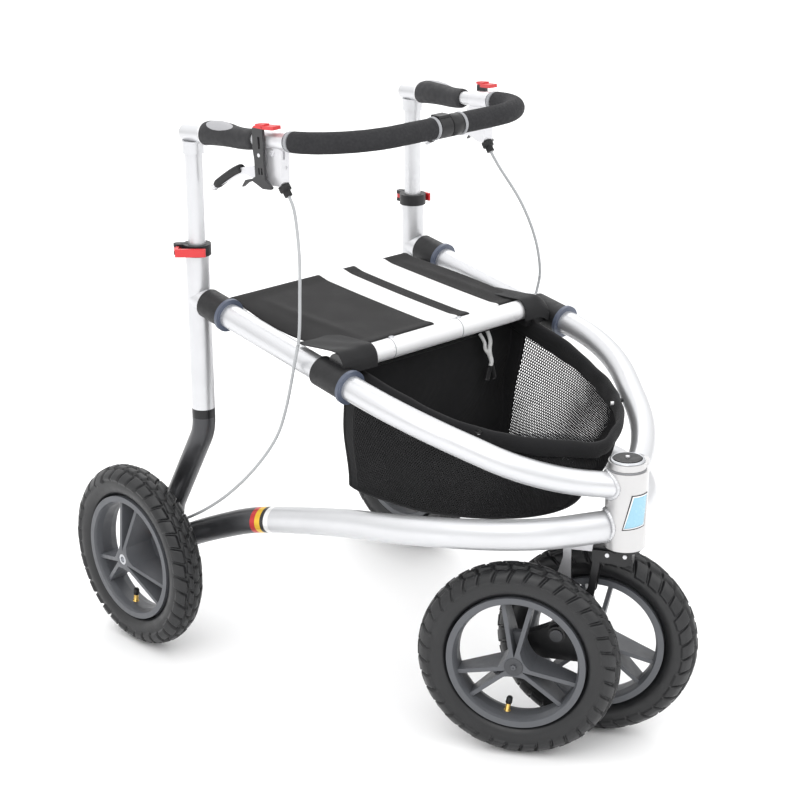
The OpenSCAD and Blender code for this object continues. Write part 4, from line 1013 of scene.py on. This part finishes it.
def head():
    """The plain badge, the weld beads, the seam and the ring on the head tube."""
    def plate(name, grow, lift, material):
        corners = [(-28.5, 423.1), (19.9, 422.6), (5.9, 377.7), (-52.8, 374.3)]
        ca = sum(c[0] for c in corners) / 4
        cz = sum(c[1] for c in corners) / 4
        c = [(a + grow * (1 if a > ca else -1) * 1.9, z + grow * (1 if z > cz else -1)) for a, z in corners]
        n, verts = 16, []

        def inside(k, u, v):
            top = c[0][k] * (1 - u) + c[1][k] * u
            low = c[3][k] * (1 - u) + c[2][k] * u
            return top * (1 - v) + low * v

        for i in range(n + 1):
            for j in range(n + 1):
                u, v = i / n, j / n
                a = math.radians(inside(0, u, v))
                r = HEAD_R + lift
                verts.append(P(HEAD_X + r * math.cos(a), r * math.sin(a), inside(1, u, v)))
        o = made(name, verts, grid_faces(n + 1, n + 1), material)
        thick(o, 0.3, 1.0, 0)
        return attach(o, "right_frame")

    plate("badge_outline", 3.3, 0.1, black_paint)
    plate("badge_border", 1.7, 0.3, white_paint)
    plate("badge_face", 0.0, 0.5, badge_blue)
    for name, mid, way, tall, wide in (("upper", (707, -8, 431.6), (0.468, 0.884, -0.191), 19.6, 19.6),
                                       ("lower", (700, -14, 371), (0.45, 0.89, 0.0), 24.5, 18.5)):
        d = Vector(way).normalized()
        side = d.cross(Vector((0, 0, 1))).normalized()
        up = side.cross(d)
        pts = []
        for k in range(97):
            a = 2 * math.pi * k / 96
            p = Vector(mid) + side * (wide * math.cos(a)) + up * (tall * math.sin(a))
            f = Vector((p.x - HEAD_X, p.y))
            g = Vector((d.x, d.y))
            dot = f.dot(g)
            root = dot * dot - g.length_squared * (f.length_squared - HEAD_R ** 2)
            t = (-dot - math.sqrt(max(root, 0))) / g.length_squared
            q = p + d * t
            pts.append(P(q.x, q.y, q.z))
        rs = [0.0031 + 0.0008 * math.sin(k * 2.4) for k in range(97)]
        tube(f"weld_{name}", pts, rs, silver, "right_frame", sides=10)
    seam = [(458.1, 27.9), (458.2, 28.5), (459.6, 28.5), (459.9, 27.9)]
    turned("head_seam", seam, P(HEAD_X, 0, 0), (0, 0, 1), grey_plastic, "right_frame", sides=96)
    ring = [(470.6, 21.4), (471.2, 26.6), (472.2, 26.4), (473.6, 25), (474.2, 23.4), (473.8, 22.2),
            (471, 21.4)]
    turned("head_ring", ring, P(HEAD_X, 0, 0), (0, 0, 1), steel, "right_frame", sides=96)


head()

# Floor and light

FLOOR_HALF = 30
SKY_LOW, SKY_HIGH = 0.84, 1.8
# Name, place, target, size in metres, power in watts
LIGHTS = (("key", (1.5, -2.6, 3.2), (0, 0, 0.4), 2.4, 30),
          ("fill", (2.8, 1.2, 2.4), (0, 0, 0.5), 2.0, 12),
          ("back", (-2.2, 1.8, 3.0), (0, 0, 0.5), 2.4, 18))


def stage():
    d = bpy.data.meshes.new("floor")
    corners = [(-1, -1), (1, -1), (1, 1), (-1, 1)]
    d.from_pydata([(x * FLOOR_HALF, y * FLOOR_HALF, 0) for x, y in corners], [], [(0, 1, 2, 3)])
    m, t, b = nodes_of("floor_white")
    t.links.new(mixed(t, noise_of(t, 3.0), (0.965, 0.965, 0.97), (0.98, 0.98, 0.98)), b.inputs["Base Color"])
    b.inputs["Roughness"].default_value = 0.7
    d.materials.append(m)
    o = bpy.data.objects.new("floor", d)
    scene.collection.objects.link(o)
    world = bpy.data.worlds.new("studio")
    world.use_nodes = True
    t = world.node_tree
    back = t.nodes["Background"]
    where = node(t, "ShaderNodeTexCoord")
    split = node(t, "ShaderNodeSeparateXYZ")
    t.links.new(where.outputs["Generated"], split.inputs[0])
    sky = map_range(t, split.outputs["Z"], 0.0, 1.0, SKY_LOW, SKY_HIGH)
    t.links.new(sky, back.inputs["Strength"])
    back.inputs["Color"].default_value = (1, 1, 1, 1)
    scene.world = world
    for name, place, target, size, power in LIGHTS:
        light = bpy.data.lights.new(name, "AREA")
        light.size = size
        light.energy = power
        o = bpy.data.objects.new(name, light)
        scene.collection.objects.link(o)
        o.location = place
        o.rotation_euler = (Vector(target) - Vector(place)).to_track_quat("-Z", "Y").to_euler()
    scene.view_settings.view_transform = "Standard"


stage()
